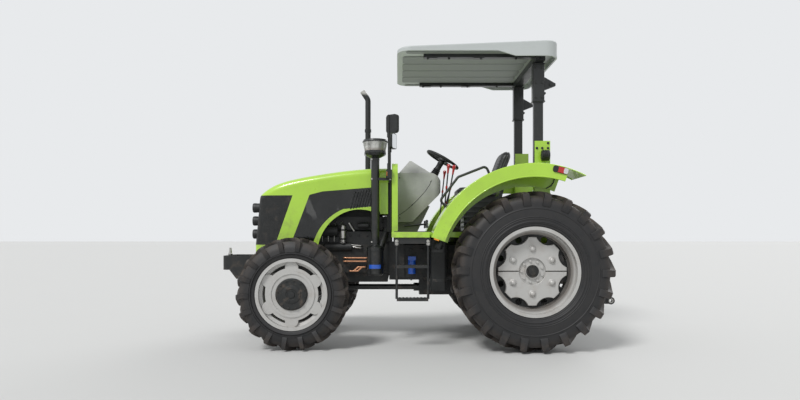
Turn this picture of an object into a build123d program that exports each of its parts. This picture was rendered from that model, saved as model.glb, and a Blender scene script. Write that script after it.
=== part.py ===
from build123d import *
import math
import os

# Farm tractor with four driven wheels, a two-post roll bar and a moulded canopy.
# Millimetres. +X is forward, +Y is the driver's left, +Z is up, and the ground is z = 0.
# The origin is on the ground, in the middle of the overall length and width.

os.makedirs("parts", exist_ok=True)

# Overall layout
WHEELBASE = 2175.0
FRONT_OVERHANG = 795.0       # front axle to the tip of the weight bracket
REAR_OVERHANG = 870.0        # rear axle to the ends of the lower links
REAR_AXLE_X = -(WHEELBASE + FRONT_OVERHANG - REAR_OVERHANG) / 2
FRONT_AXLE_X = REAR_AXLE_X + WHEELBASE
FIT = 0.3                    # clearance at seats, bores and pins
SIDES = (("left", 1), ("right", -1))

# Rear wheels
REAR_TYRE_R = 725.0
REAR_TYRE_W = 385.0
REAR_TRACK = 1440.0
REAR_LUG_H = 40.0
REAR_LUGS = 22               # on each half of the tread
REAR_SEAT_R = 381.0          # bead seat of the rim
REAR_RIM_W = 318.0           # between the rim flanges
REAR_WELL_R = 345.0          # drop centre of the rim
REAR_HUB_R = 120.0
REAR_HUB_CAP_R = 68.0
REAR_HUB_REACH = 24.0        # hub ring, proud of the disc
REAR_CAP_REACH = 26.0        # centre cap, proud of the hub ring
REAR_SHAFT_R = 50.0
BALLAST_R = 311.0            # tips of the half-plate wheel weights
BALLAST_T = 46.0
BALLAST_TIPS = 8
BALLAST_SPLIT = 8.0          # gap between the two half plates
SCALLOP_R = 120.0
SCALLOP_DEPTH = 46.0
HAND_HOLE_R = 30.0           # openings in the disc behind the scallops
REAR_WHEEL_Y = REAR_TRACK / 2
TYRE_IN_Y = REAR_WHEEL_Y - REAR_TYRE_W / 2

# Front wheels
FRONT_TYRE_R = 515.0
FRONT_TYRE_W = 245.0
FRONT_TRACK = 1350.0
FRONT_LUG_H = 32.0
FRONT_LUGS = 18
FRONT_SEAT_R = 305.0
FRONT_RIM_W = 190.0
FRONT_WELL_R = 278.0
FRONT_DISC_OUT = 64.0        # disc's inner face, outboard of the wheel's middle
FRONT_LOBES = 6
FRONT_LOBE_R = 60.0
FRONT_RING_R = 209.0
FRONT_HUB_R = 146.0
FRONT_HUB_REACH = 32.0       # hub face, proud of the disc
FRONT_HUB_FLANGE_R = 176.0

# What both kinds of wheel share
RIM_T = 8.0
FLANGE_H = 22.0
FLANGE_T = 11.0
DISC_T = 12.0
LUG_SLANT = 0.75             # run round the tyre for each unit across it
LUG_FOOT = 0.75              # half width at the foot, in lug heights
LUG_FACE = 0.5               # half width of the face, in lug heights
TREAD_CROWN = 0.4            # fall from the middle to the shoulder, in lug heights

# Front axle, knuckles and steering
AXLE_TUBE_R = 52.0
DIFF_R = 135.0
DIFF_HALF_W = 105.0
TRUNNION_R = 50.0
TRUNNION_FRONT = 185.0
PINION_NOSE = 250.0          # rear end of the pinion housing, behind the axle
KINGPIN_INSET = 145.0        # wheel's middle to the kingpin
KINGPIN_R = 55.0
KINGPIN_CASE_H = 150.0
KNUCKLE_LUG_H = 44.0
KNUCKLE_WEB_T = 26.0
KNUCKLE_WEB_W = 128.0
KNUCKLE_GAP = 7.0            # turning clearance between case and web
KNUCKLE_DRUM_R = 138.0
KNUCKLE_DRUM_L = 66.0
SPINDLE_R = 50.0
ARM_L = 150.0                # kingpin to steering ball
ARM_W = 58.0
ARM_T = 28.0
TIE_ROD_R = 15.0
TIE_EYE_R = 27.0
TIE_EYE_H = 30.0
CYLINDER_R = 33.0
CYLINDER_ROD_R = 16.0
CYLINDER_IN = 112.0          # barrel's inner end, from the middle
CYLINDER_OUT = 352.0
ROD_EYE_R = 26.0
ROD_EYE_H = 34.0
ROD_DEPTH = 112.0            # rod inside its barrel when steering straight ahead

# Front frame, weight bracket and radiator, measured from the front axle
FRAME_HALF_W = 168.0
FRAME_WALL = 28.0
FRAME_TOP_Z = 860.0
FRAME_FRONT = 440.0
DIFF_CLEAR = 16.0            # over the differential
PIVOT_T = 26.0
PIVOT_HALF_W = 88.0
PIVOT_DROP = 72.0            # pivot brackets, below the axle's middle
BRACKET_HALF_W = 200.0
BRACKET_PLATE = 24.0
BRACKET_TOP_Z = 842.0
BRACKET_BOTTOM_Z = 612.0
BRACKET_NOSE_H = 140.0
RADIATOR_REAR = -25.0
RADIATOR_FRONT = 105.0
RADIATOR_HALF_W = 250.0
RADIATOR_TOP_Z = 1400.0
FAN_R = 215.0

# Engine, from its rear face to its front face
ENGINE_REAR = 875.0          # behind the front axle
ENGINE_FRONT = 170.0
BLOCK_HALF_W = 165.0
BLOCK_TOP_Z = 1105.0
PAN_HALF_W = 135.0
PAN_TOP_Z = 655.0
PAN_CLEAR = 60.0             # oil pan, above the middle of the drive shaft
HEAD_HALF_W = 150.0
HEAD_TOP_Z = 1235.0
COVER_HALF_W = 105.0
COVER_TOP_Z = 1335.0

# Drive line
SHAFT_R = 28.0
DROP_BOX_FRONT = 995.0       # ahead of the rear axle
DROP_BOX_REAR = 680.0
DROP_BOX_HALF_W = 105.0
GEARBOX_HALF_W = 185.0
GEARBOX_BOTTOM_Z = 600.0
GEARBOX_TOP_Z = 980.0
BELL_HALF_W = 215.0
BELL_L = 150.0
AXLE_CASE_REAR = 250.0
AXLE_CASE_FRONT = 250.0
AXLE_CASE_HALF_W = 190.0
AXLE_CASE_UP = 320.0         # above the rear axle
AXLE_CASE_DOWN = 270.0
TRUMPET_R = 140.0
TRUMPET_END_R = 96.0
TRUMPET_FLANGE_R = 118.0
TRUMPET_FLANGE_T = 34.0
TRUMPET_END = REAR_WHEEL_Y - 160    # outer end of the rear axle housing
SHAFT_DEPTH = 90.0           # axle shaft inside its housing
PTO_R = 17.5
PTO_L = 76.0
PTO_DROP = 120.0             # below the rear axle

# Air intake and exhaust beside the hood
STACK_X = -745.0             # from the front axle
STACK_Y = 450.0
STACK_R = 40.0
CLEANER_R = 80.0
CLEANER_BOTTOM_Z = 662.0
CLEANER_TOP_Z = 955.0
BOWL_R = 120.0
BOWL_BOTTOM_Z = 1853.0
BOWL_TOP_Z = BOWL_BOTTOM_Z + 88
CAP_TOP_Z = BOWL_TOP_Z + 18
BOWL_BASE_H = 46.0           # black cup under the clear bowl
BOWL_FOOT_R = 101.0
EXHAUST_X = -632.0
EXHAUST_Y = -400.0
EXHAUST_R = 30.0
EXHAUST_WALL = 3.0
EXHAUST_ELBOW_Z = 1180.0
EXHAUST_TOP_Z = 2600.0

# Platform, steps, tanks and cowl
PLATFORM_TOP_Z = 1080.0
PLATFORM_T = 50.0
PLATFORM_HALF_W = REAR_WHEEL_Y
PLATFORM_REAR = 262.0        # ahead of the rear axle
STEP_WIDE_REAR = 924.0       # where the platform widens, ahead of the rear axle
COWL_REAR = 961.0            # behind the front axle
COWL_FRONT = 905.0
COWL_HALF_W = 490.0
COWL_TOP_Z = 1740.0
STEP_Y = PLATFORM_HALF_W - 30
STEP_BAR_R = 12.0
STEP_L = 300.0
STEP_TREAD_W = 70.0
STEP_TREAD_T = 18.0
STEP_LEVELS_Z = (769.0, 468.0)
TANK_FRONT = 905.0           # ahead of the rear axle
TANK_REAR = 745.0
TANK_IN_Y = 225.0
TANK_OUT_Y = TYRE_IN_Y - 29.5
TANK_TOP_Z = 1010.0
TANK_BOTTOM_Z = 520.0

# Console, steering wheel and seat
CONSOLE_HALF_W = 220.0
CONSOLE_PEAK_Z = 1805.0
COLUMN_TILT = 30.0           # degrees from upright
COLUMN_R = 26.0
WHEEL_X = 1425.0             # steering wheel's middle, behind the front axle
WHEEL_Z = 1826.0
WHEEL_R = 187.5
WHEEL_GRIP_R = 14.0
SEAT_HALF_W = 240.0
SEAT_REAR = 200.0            # ahead of the rear axle
SEAT_FRONT = 640.0
SEAT_TOP_Z = 1530.0
SEAT_T = 92.0
BACK_TOP_Z = 1910.0
BACK_T = 92.0
BACK_LEAN = 150.0

# Fenders
FENDER_R = 965.0
FENDER_T = 8.0
FENDER_LIP_R = FENDER_R - 120
FENDER_IN_Y = TYRE_IN_Y - 22.5
FENDER_OUT_Y = REAR_WHEEL_Y + 180
FENDER_FRONT_ANGLE = 18.7
FENDER_TAIL_ANGLE = 117.5
FENDER_LIP_ANGLE = 108.0
FENDER_WALL_ANGLE = 110.0

# Roll bar and canopy
POST_X = -125.0              # from the rear axle
POST_Y = TYRE_IN_Y - 69.5
POST_L = 90.0
POST_W = 60.0
BRACKET_L = 147.0
BRACKET_W = 78.0
BRACKET_HEAD_Z = 1945.0
SLEEVE_L = 110.0
SLEEVE_BOTTOM_Z = 2320.0
SLEEVE_TOP_Z = 2680.0
BAR_BOTTOM_Z = 2690.0
BAR_H = 62.0
RAIL_Y = POST_Y + 72
RAIL_W = 60.0
RAIL_H = 34.0
RAIL_FRONT = 970.0           # ahead of the rear axle
CANOPY_FRONT = 1220.0
CANOPY_REAR = -283.0
CANOPY_HALF_W = 660.0
CANOPY_CORNER_R = 130.0
CANOPY_FRONT_Z = 2794.0      # top at the front edge
CANOPY_REAR_Z = 2856.0
CANOPY_SKIRT = 40.0
CANOPY_STEP = 48.0           # the rear part of the skirt reaches this much lower
CANOPY_STEP_FRONT = 290.0
CANOPY_STEP_REAR = 125.0
CANOPY_WALL = 16.0

# Hood, measured from the front axle
HOOD_HALF_W = 345.0
HOOD_NOSE_HALF_W = 300.0
HOOD_T = 8.0
HOOD_REAR = -865.0
HOOD_TOP_Z = 1705.0
HINGE_X = -866.0
HINGE_Z = 1676.0
HINGE_R = 9.0
LAMP_R = 46.0
LAMP_REACH = 479.0
LAMP_LEVELS_Z = (1320.0, 1190.0, 1060.0)

# Mirrors
MIRROR_Y = 510.0
MIRROR_X = -897.0            # from the front axle
MIRROR_POST_R = 9.0
MIRROR_TOP_Z = 2190.0

# Three-point linkage, measured from the rear axle
LINK_PIVOT_X = -60.0
LINK_PIVOT_Z = 420.0
LINK_PIVOT_Y = 270.0
LINK_END_Y = 412.0
LINK_T = 26.0
LINK_H = 64.0
LINK_EYE_R = 36.0
LINK_BORE_R = 14.35
LIFT_ARM_L = 350.0
LIFT_PIVOT_X = -180.0
LIFT_PIVOT_Z = 1100.0
LIFT_ARM_Y = 232.0
LIFT_ARM_T = 30.0
ROCKSHAFT_R = 42.0
LIFT_ROD_R = 12.0
TOP_LINK_X = -292.0
TOP_LINK_Z = 900.0
TOP_LINK_L = 505.0
TOP_LINK_LEAN = 24.0         # degrees behind upright, as stowed
TOP_LINK_R = 17.0
DRAWBAR_END = -560.0
DRAWBAR_HALF_W = 38.0
DRAWBAR_T = 32.0
DRAWBAR_TOP_Z = 425.0
DRAWBAR_HOLE_R = 16.5

REAR_AXLE_Z = REAR_TYRE_R
FRONT_AXLE_Z = FRONT_TYRE_R
FRONT_WHEEL_Y = FRONT_TRACK / 2
KINGPIN_Y = FRONT_WHEEL_Y - KINGPIN_INSET


def side_plane(y):
    """Upright plane along the tractor: local x is forward, local y is up, normal to -Y."""
    return Plane(origin=(0, y, 0), x_dir=(1, 0, 0), z_dir=(0, -1, 0))


def cross_plane(x):
    """Upright plane across the tractor: local x is +Y, local y is up, normal to +X."""
    return Plane(origin=(x, 0, 0), x_dir=(0, 1, 0), z_dir=(1, 0, 0))


def save(piece, name):
    """Label a finished piece and write it under the same name."""
    piece.label = name
    export_step(piece, f"parts/{name}.step")


def block(x0, x1, y0, y1, z0, z1, mode=Mode.ADD):
    """Box between two corners, in the piece being built."""
    with Locations(((x0 + x1) / 2, (y0 + y1) / 2, (z0 + z1) / 2)):
        return Box(abs(x1 - x0), abs(y1 - y0), abs(z1 - z0), mode=mode)


def rod(start, end, radius, mode=Mode.ADD):
    """Round bar between two points, in the piece being built."""
    along = Vector(*end) - Vector(*start)
    with Locations(Plane(origin=start, z_dir=along).location):
        return Cylinder(radius, along.length, align=(Align.CENTER, Align.CENTER, Align.MIN), mode=mode)


def faceted(polygons):
    """Solid from the corner points of its flat faces."""
    return Solid(Shell([Face(Wire.make_polygon(corners)) for corners in polygons]))


def lugged_tyre(axle_x, axle_z, mid_y, tip_r, width, seat_r, rim_w, lug_h, lugs):
    """Faceted tyre body and its slanting lugs, whose V points ahead at the top."""
    half_w = width / 2
    flat = math.cos(math.pi / lugs)
    body_r = tip_r - lug_h
    bead = rim_w / 2 - FIT
    bead_r = (seat_r + FIT) / flat
    flange_r = (seat_r + FLANGE_H + FIT) / flat

    def point(y, radius, angle):
        return (axle_x + radius * math.sin(angle), mid_y + y, axle_z + radius * math.cos(angle))

    half = [(bead, bead_r), (bead, flange_r), (half_w - lug_h / 4, (flange_r + tip_r) / 2),
            (half_w - lug_h / 2, body_r - lug_h)]
    outline = half + [(-y, radius) for y, radius in reversed(half)]
    sides = []
    for step in range(lugs):
        near = math.tau * step / lugs
        far = math.tau * (step + 1) / lugs
        for corner, following in zip(outline, outline[1:] + outline[:1]):
            sides.append([point(*corner, near), point(*following, near), point(*following, far),
                          point(*corner, far)])
    body = faceted(sides)

    middle = (-0.4 * lug_h, body_r - lug_h / 3, -0.3 * lug_h, tip_r)
    shoulder = (half_w - 0.9 * lug_h, body_r - 2 * lug_h, half_w, tip_r - TREAD_CROWN * lug_h)
    blocks = []
    for row in (1, -1):
        for index in range(lugs):
            middle_angle = math.pi + math.tau * (index + (0.5 if row < 0 else 0)) / lugs
            rings = []
            for foot_y, foot_r, face_y, face_r in (middle, shoulder):
                ring = []
                for y, radius, half_l in ((foot_y, foot_r, -LUG_FOOT), (face_y, face_r, -LUG_FACE),
                                          (face_y, face_r, LUG_FACE), (foot_y, foot_r, LUG_FOOT)):
                    lead = (middle[2] - y) * LUG_SLANT / tip_r
                    ring.append(point(row * y, radius, middle_angle + lead + half_l * lug_h / radius))
                rings.append(ring)
            near, far = rings
            faces = []
            for ring in rings:
                faces += [ring[:3], [ring[0], ring[2], ring[3]]]
            for corner in range(4):
                following = (corner + 1) % 4
                faces += [[near[corner], near[following], far[following]],
                          [near[corner], far[following], far[corner]]]
            blocks.append(faceted(faces))
    return body, blocks


def rim_section(axle_x, axle_z, mid_y, seat_r, rim_w, well_r):
    """Half section of a drop-centre rim with rolled flanges, on the plane above its axle."""
    seat = rim_w / 2
    edge = seat + FLANGE_T
    well = rim_w / 4
    with BuildSketch(cross_plane(axle_x)) as section:
        with BuildLine():
            Polyline((mid_y, axle_z + well_r), (mid_y + well, axle_z + well_r),
                     (mid_y + well + RIM_T, axle_z + seat_r), (mid_y + seat, axle_z + seat_r),
                     (mid_y + seat, axle_z + seat_r + FLANGE_H), (mid_y + edge, axle_z + seat_r + FLANGE_H),
                     (mid_y + edge, axle_z + seat_r - RIM_T),
                     (mid_y + well + 2 * RIM_T, axle_z + seat_r - RIM_T),
                     (mid_y + well + RIM_T, axle_z + well_r - RIM_T), (mid_y, axle_z + well_r - RIM_T))
            mirror(about=Plane.YZ.offset(mid_y))
        make_face()
    return section.sketch


# Rear wheels: tyre, rim with its disc and axle shaft, and two scalloped half-plate weights
REAR_AXLE = Axis((REAR_AXLE_X, 0, REAR_AXLE_Z), (0, 1, 0))
REAR_BARREL_R = REAR_WELL_R - RIM_T / 2
HAND_HOLE_CIRCLE = (BALLAST_R - SCALLOP_DEPTH + REAR_BARREL_R) / 2

for side, sign in SIDES:
    wheel_y = sign * REAR_WHEEL_Y
    outward = -sign          # extrusions from a side plane run to -Y
    disc_y = wheel_y + sign * DISC_T / 2

    tyre_body, tyre_lugs = lugged_tyre(REAR_AXLE_X, REAR_AXLE_Z, wheel_y, REAR_TYRE_R, REAR_TYRE_W,
                                       REAR_SEAT_R,
                                       REAR_RIM_W, REAR_LUG_H, REAR_LUGS)
    with BuildPart() as rear_tyre:
        add(tyre_body)
        add(tyre_lugs)
    save(rear_tyre.part, f"rear_tyre_{side}")

    with BuildPart() as rear_rim:
        revolve(rim_section(REAR_AXLE_X, REAR_AXLE_Z, wheel_y, REAR_SEAT_R, REAR_RIM_W, REAR_WELL_R),
                axis=REAR_AXLE)
        with BuildSketch(side_plane(wheel_y - sign * DISC_T / 2)):
            with Locations((REAR_AXLE_X, REAR_AXLE_Z)):
                Circle(REAR_BARREL_R)
                with PolarLocations(HAND_HOLE_CIRCLE, BALLAST_TIPS, start_angle=180 / BALLAST_TIPS):
                    Circle(HAND_HOLE_R, mode=Mode.SUBTRACT)
        extrude(amount=outward * DISC_T)
        with BuildSketch(side_plane(disc_y)):
            with Locations((REAR_AXLE_X, REAR_AXLE_Z)):
                Circle(REAR_HUB_R)
        extrude(amount=outward * REAR_HUB_REACH)
        with BuildSketch(side_plane(disc_y + sign * REAR_HUB_REACH)):
            with Locations((REAR_AXLE_X, REAR_AXLE_Z)):
                Circle(REAR_HUB_CAP_R)
        extrude(amount=outward * REAR_CAP_REACH, taper=12)
        with BuildSketch(side_plane(wheel_y)):
            with Locations((REAR_AXLE_X, REAR_AXLE_Z)):
                Circle(REAR_SHAFT_R)
        extrude(amount=sign * (REAR_WHEEL_Y - TRUMPET_END + SHAFT_DEPTH))
        with BuildSketch(side_plane(wheel_y - sign * DISC_T / 2)):
            with Locations((REAR_AXLE_X, REAR_AXLE_Z)):
                Circle(REAR_HUB_R)
        extrude(amount=sign * REAR_HUB_REACH, taper=20)
    save(rear_rim.part, f"rear_rim_{side}")

    with BuildPart() as rear_ballast:
        with BuildSketch(side_plane(disc_y + sign * FIT)):
            with Locations((REAR_AXLE_X, REAR_AXLE_Z)):
                Circle(BALLAST_R)
                Circle(REAR_HUB_R + FIT, mode=Mode.SUBTRACT)
                Rectangle(2 * BALLAST_R, BALLAST_SPLIT, mode=Mode.SUBTRACT)
                with PolarLocations(BALLAST_R - SCALLOP_DEPTH + SCALLOP_R, BALLAST_TIPS,
                                    start_angle=180 / BALLAST_TIPS):
                    Circle(SCALLOP_R, mode=Mode.SUBTRACT)
        extrude(amount=outward * BALLAST_T)
        face_edges = rear_ballast.edges().group_by(Axis.Y)[-1 if sign > 0 else 0]
        chamfer(face_edges, BALLAST_SPLIT / 2)
    save(rear_ballast.part, f"rear_ballast_{side}")

# Front wheels: tyre, rim with its lobed disc, and the black planetary hub
FRONT_AXLE = Axis((FRONT_AXLE_X, 0, FRONT_AXLE_Z), (0, 1, 0))
FRONT_BARREL_R = FRONT_SEAT_R - RIM_T / 2
SPINDLE_OUT = FRONT_WHEEL_Y + FRONT_DISC_OUT
DRUM_IN = KINGPIN_Y + KINGPIN_R + KNUCKLE_GAP + KNUCKLE_WEB_T
DRUM_OUT = DRUM_IN + KNUCKLE_DRUM_L

for side, sign in SIDES:
    wheel_y = sign * FRONT_WHEEL_Y
    outward = -sign
    disc_y = wheel_y + sign * FRONT_DISC_OUT

    tyre_body, tyre_lugs = lugged_tyre(FRONT_AXLE_X, FRONT_AXLE_Z, wheel_y, FRONT_TYRE_R, FRONT_TYRE_W,
                                       FRONT_SEAT_R, FRONT_RIM_W, FRONT_LUG_H, FRONT_LUGS)
    with BuildPart() as front_tyre:
        add(tyre_body)
        add(tyre_lugs)
    save(front_tyre.part, f"front_tyre_{side}")

    with BuildPart() as front_rim:
        revolve(rim_section(FRONT_AXLE_X, FRONT_AXLE_Z, wheel_y, FRONT_SEAT_R, FRONT_RIM_W, FRONT_WELL_R),
                axis=FRONT_AXLE)
        with BuildSketch(side_plane(disc_y)):
            with Locations((FRONT_AXLE_X, FRONT_AXLE_Z)):
                Circle(FRONT_BARREL_R - FRONT_LOBE_R)
                with PolarLocations(FRONT_BARREL_R - FRONT_LOBE_R, FRONT_LOBES, start_angle=90):
                    Circle(FRONT_LOBE_R)
                Circle(FRONT_HUB_R + FIT, mode=Mode.SUBTRACT)
        extrude(amount=outward * DISC_T)
        with BuildSketch(side_plane(disc_y)):
            with Locations((FRONT_AXLE_X, FRONT_AXLE_Z)):
                Circle(FRONT_RING_R)
                Circle(FRONT_RING_R - 2 * DISC_T, mode=Mode.SUBTRACT)
        extrude(amount=outward * (DISC_T + RIM_T))
    save(front_rim.part, f"front_rim_{side}")

    with BuildPart() as front_hub:
        with BuildSketch(side_plane(sign * (DRUM_OUT + FIT))):
            with Locations((FRONT_AXLE_X, FRONT_AXLE_Z)):
                Circle(FRONT_HUB_R)
        extrude(amount=outward * (SPINDLE_OUT + FRONT_HUB_REACH - DRUM_OUT - FIT))
        chamfer(front_hub.edges().group_by(Axis.Y)[-1 if sign > 0 else 0], DISC_T)
        with BuildSketch(side_plane(disc_y - sign * FIT)):
            with Locations((FRONT_AXLE_X, FRONT_AXLE_Z)):
                Circle(FRONT_HUB_FLANGE_R)
        extrude(amount=sign * DISC_T)
        with BuildSketch(side_plane(sign * DRUM_OUT)):
            with Locations((FRONT_AXLE_X, FRONT_AXLE_Z)):
                Circle(SPINDLE_R + FIT)
        extrude(amount=outward * (SPINDLE_OUT - DRUM_OUT), mode=Mode.SUBTRACT)
    save(front_hub.part, f"front_hub_{side}")

# Front drive axle: one casting with its pivot trunnion, kingpin cases and steering cylinder
CASE_BOTTOM = FRONT_AXLE_Z - KINGPIN_CASE_H / 2
CASE_TOP = FRONT_AXLE_Z + KINGPIN_CASE_H / 2
LUG_BOTTOM = CASE_BOTTOM - FIT - KNUCKLE_LUG_H
ARM_TOP = CASE_BOTTOM - FIT - ARM_T / 4
ROD_Z = ARM_TOP + FIT + ROD_EYE_H / 2
ROD_X = FRONT_AXLE_X + ARM_L

with BuildPart() as front_axle_beam:
    with BuildSketch(cross_plane(FRONT_AXLE_X)):
        with BuildLine():
            Polyline((0, FRONT_AXLE_Z), (0, FRONT_AXLE_Z + DIFF_R), (DIFF_HALF_W, FRONT_AXLE_Z + DIFF_R),
                     (DIFF_HALF_W + DIFF_R / 2, FRONT_AXLE_Z + AXLE_TUBE_R * 1.4),
                     (KINGPIN_Y - KINGPIN_R / 2, FRONT_AXLE_Z + AXLE_TUBE_R * 0.85),
                     (KINGPIN_Y - KINGPIN_R / 2, FRONT_AXLE_Z), close=True)
        make_face()
        mirror(about=Plane.YZ)
    revolve(axis=FRONT_AXLE)
    with BuildSketch(Plane.XY.offset(CASE_BOTTOM)):
        with Locations((FRONT_AXLE_X, KINGPIN_Y), (FRONT_AXLE_X, -KINGPIN_Y)):
            Circle(KINGPIN_R)
    extrude(amount=KINGPIN_CASE_H)
    with BuildSketch(cross_plane(FRONT_AXLE_X - PINION_NOSE)):
        with Locations((0, FRONT_AXLE_Z)):
            Circle(TRUNNION_R)
    extrude(amount=PINION_NOSE + TRUNNION_FRONT)
    with BuildSketch(side_plane(CYLINDER_OUT)):
        with Locations((ROD_X, ROD_Z)):
            Circle(CYLINDER_R)
    extrude(amount=CYLINDER_OUT - CYLINDER_IN)
    with BuildSketch(side_plane((CYLINDER_IN + CYLINDER_OUT) / 2)):
        with Locations((FRONT_AXLE_X + ARM_L / 2, ROD_Z)):
            Rectangle(ARM_L - CYLINDER_R, CYLINDER_R * 1.4)
    extrude(amount=CYLINDER_R, both=True)
    with BuildSketch(side_plane(CYLINDER_OUT)):
        with Locations((ROD_X, ROD_Z)):
            Circle(CYLINDER_ROD_R + FIT)
    extrude(amount=CYLINDER_OUT - CYLINDER_IN - CYLINDER_ROD_R, mode=Mode.SUBTRACT)
save(front_axle_beam.part, "front_axle_beam")

# Steering knuckles: lugs above and below the kingpin case, web, final-drive drum, spindle and arms
for side, sign in SIDES:
    pin_y = sign * KINGPIN_Y
    web_y = sign * (KINGPIN_Y + KINGPIN_R + KNUCKLE_GAP)
    arm_ends = [-ARM_L, ARM_L] if side == "left" else [-ARM_L]
    with BuildPart() as knuckle:
        with BuildSketch(Plane.XY.offset(CASE_TOP + FIT), Plane.XY.offset(LUG_BOTTOM)):
            with Locations((FRONT_AXLE_X, pin_y)):
                Circle(KINGPIN_R)
            with Locations((FRONT_AXLE_X, (pin_y + web_y) / 2)):
                Rectangle(1.6 * KINGPIN_R, abs(web_y - pin_y) + KNUCKLE_WEB_T)
        extrude(amount=KNUCKLE_LUG_H)
        with BuildSketch(side_plane(web_y)):
            with Locations((FRONT_AXLE_X, FRONT_AXLE_Z)):
                Rectangle(KNUCKLE_WEB_W, KINGPIN_CASE_H + 2 * (FIT + KNUCKLE_LUG_H))
        extrude(amount=-sign * KNUCKLE_WEB_T)
        with BuildSketch(side_plane(sign * DRUM_IN)):
            with Locations((FRONT_AXLE_X, FRONT_AXLE_Z)):
                Circle(KNUCKLE_DRUM_R)
        extrude(amount=-sign * KNUCKLE_DRUM_L)
        with BuildSketch(side_plane(sign * DRUM_OUT)):
            with Locations((FRONT_AXLE_X, FRONT_AXLE_Z)):
                Circle(SPINDLE_R)
        extrude(amount=-sign * (SPINDLE_OUT - DRUM_OUT - FIT))
        for arm_end in arm_ends:
            with BuildSketch(Plane.XY.offset(ARM_TOP - ARM_T)):
                with Locations((FRONT_AXLE_X + arm_end / 2, pin_y)):
                    SlotOverall(ARM_L + ARM_W, ARM_W)
            extrude(amount=ARM_T)
    save(knuckle.part, f"knuckle_{side}")

# Tie rod behind the axle, hung under both rear arms
TIE_X = FRONT_AXLE_X - ARM_L
TIE_TOP = ARM_TOP - ARM_T - FIT
with BuildPart() as tie_rod:
    with BuildSketch(Plane.XY.offset(TIE_TOP - TIE_EYE_H)):
        with Locations((TIE_X, KINGPIN_Y), (TIE_X, -KINGPIN_Y)):
            Circle(TIE_EYE_R)
    extrude(amount=TIE_EYE_H)
    with BuildSketch(side_plane(KINGPIN_Y)):
        with Locations((TIE_X, TIE_TOP - TIE_EYE_H / 2)):
            Circle(TIE_ROD_R - FIT)
    extrude(amount=2 * KINGPIN_Y)
save(tie_rod.part, "tie_rod")

# Piston rod of the steering cylinder, its eye resting over the left front arm
with BuildPart() as steering_rod:
    with BuildSketch(side_plane(KINGPIN_Y)):
        with Locations((ROD_X, ROD_Z)):
            Circle(CYLINDER_ROD_R)
    extrude(amount=KINGPIN_Y - CYLINDER_OUT + ROD_DEPTH)
    with BuildSketch(Plane.XY.offset(ARM_TOP + FIT)):
        with Locations((ROD_X, KINGPIN_Y)):
            Circle(ROD_EYE_R)
    extrude(amount=ROD_EYE_H)
save(steering_rod.part, "steering_rod")

# Front frame: an open-bottomed casting with side rails and the two pivot brackets of the axle
FRAME_BOTTOM_Z = FRONT_AXLE_Z + DIFF_R + DIFF_CLEAR
FRAME_REAR_X = FRONT_AXLE_X - ENGINE_FRONT
FRAME_FRONT_X = FRONT_AXLE_X + FRAME_FRONT
PIVOT_IN = DIFF_R + 2 * FIT

with BuildPart() as front_frame:
    with BuildSketch(Plane.XZ):
        with BuildLine():
            Polyline((FRAME_REAR_X + FIT, FRAME_BOTTOM_Z), (FRAME_REAR_X + FIT, FRAME_TOP_Z),
                     (FRAME_FRONT_X, FRAME_TOP_Z), (FRAME_FRONT_X, FRAME_BOTTOM_Z), close=True)
        make_face()
    extrude(amount=FRAME_HALF_W, both=True)
    fillet(front_frame.edges().filter_by(Axis.Z), FRAME_WALL / 2)
    block(FRAME_REAR_X + FRAME_WALL, FRAME_FRONT_X - FRAME_WALL, -FRAME_HALF_W + FRAME_WALL,
          FRAME_HALF_W - FRAME_WALL, FRAME_BOTTOM_Z, FRAME_TOP_Z - FRAME_WALL, mode=Mode.SUBTRACT)
    for pivot_x in (FRONT_AXLE_X + PIVOT_IN, FRONT_AXLE_X - PIVOT_IN - PIVOT_T):
        with BuildSketch(cross_plane(pivot_x)):
            with BuildLine():
                Polyline((-PIVOT_HALF_W, FRONT_AXLE_Z), (-FRAME_HALF_W + FRAME_WALL, FRAME_BOTTOM_Z),
                         (-FRAME_HALF_W + FRAME_WALL / 2, FRAME_TOP_Z - FRAME_WALL / 2),
                         (FRAME_HALF_W - FRAME_WALL / 2, FRAME_TOP_Z - FRAME_WALL / 2),
                         (FRAME_HALF_W - FRAME_WALL, FRAME_BOTTOM_Z), (PIVOT_HALF_W, FRONT_AXLE_Z))
                ThreePointArc((PIVOT_HALF_W, FRONT_AXLE_Z), (0, FRONT_AXLE_Z - PIVOT_DROP),
                              (-PIVOT_HALF_W, FRONT_AXLE_Z))
            make_face()
            with Locations((0, FRONT_AXLE_Z)):
                Circle(TRUNNION_R + FIT, mode=Mode.SUBTRACT)
        extrude(amount=PIVOT_T)
save(front_frame.part, "front_frame")

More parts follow.
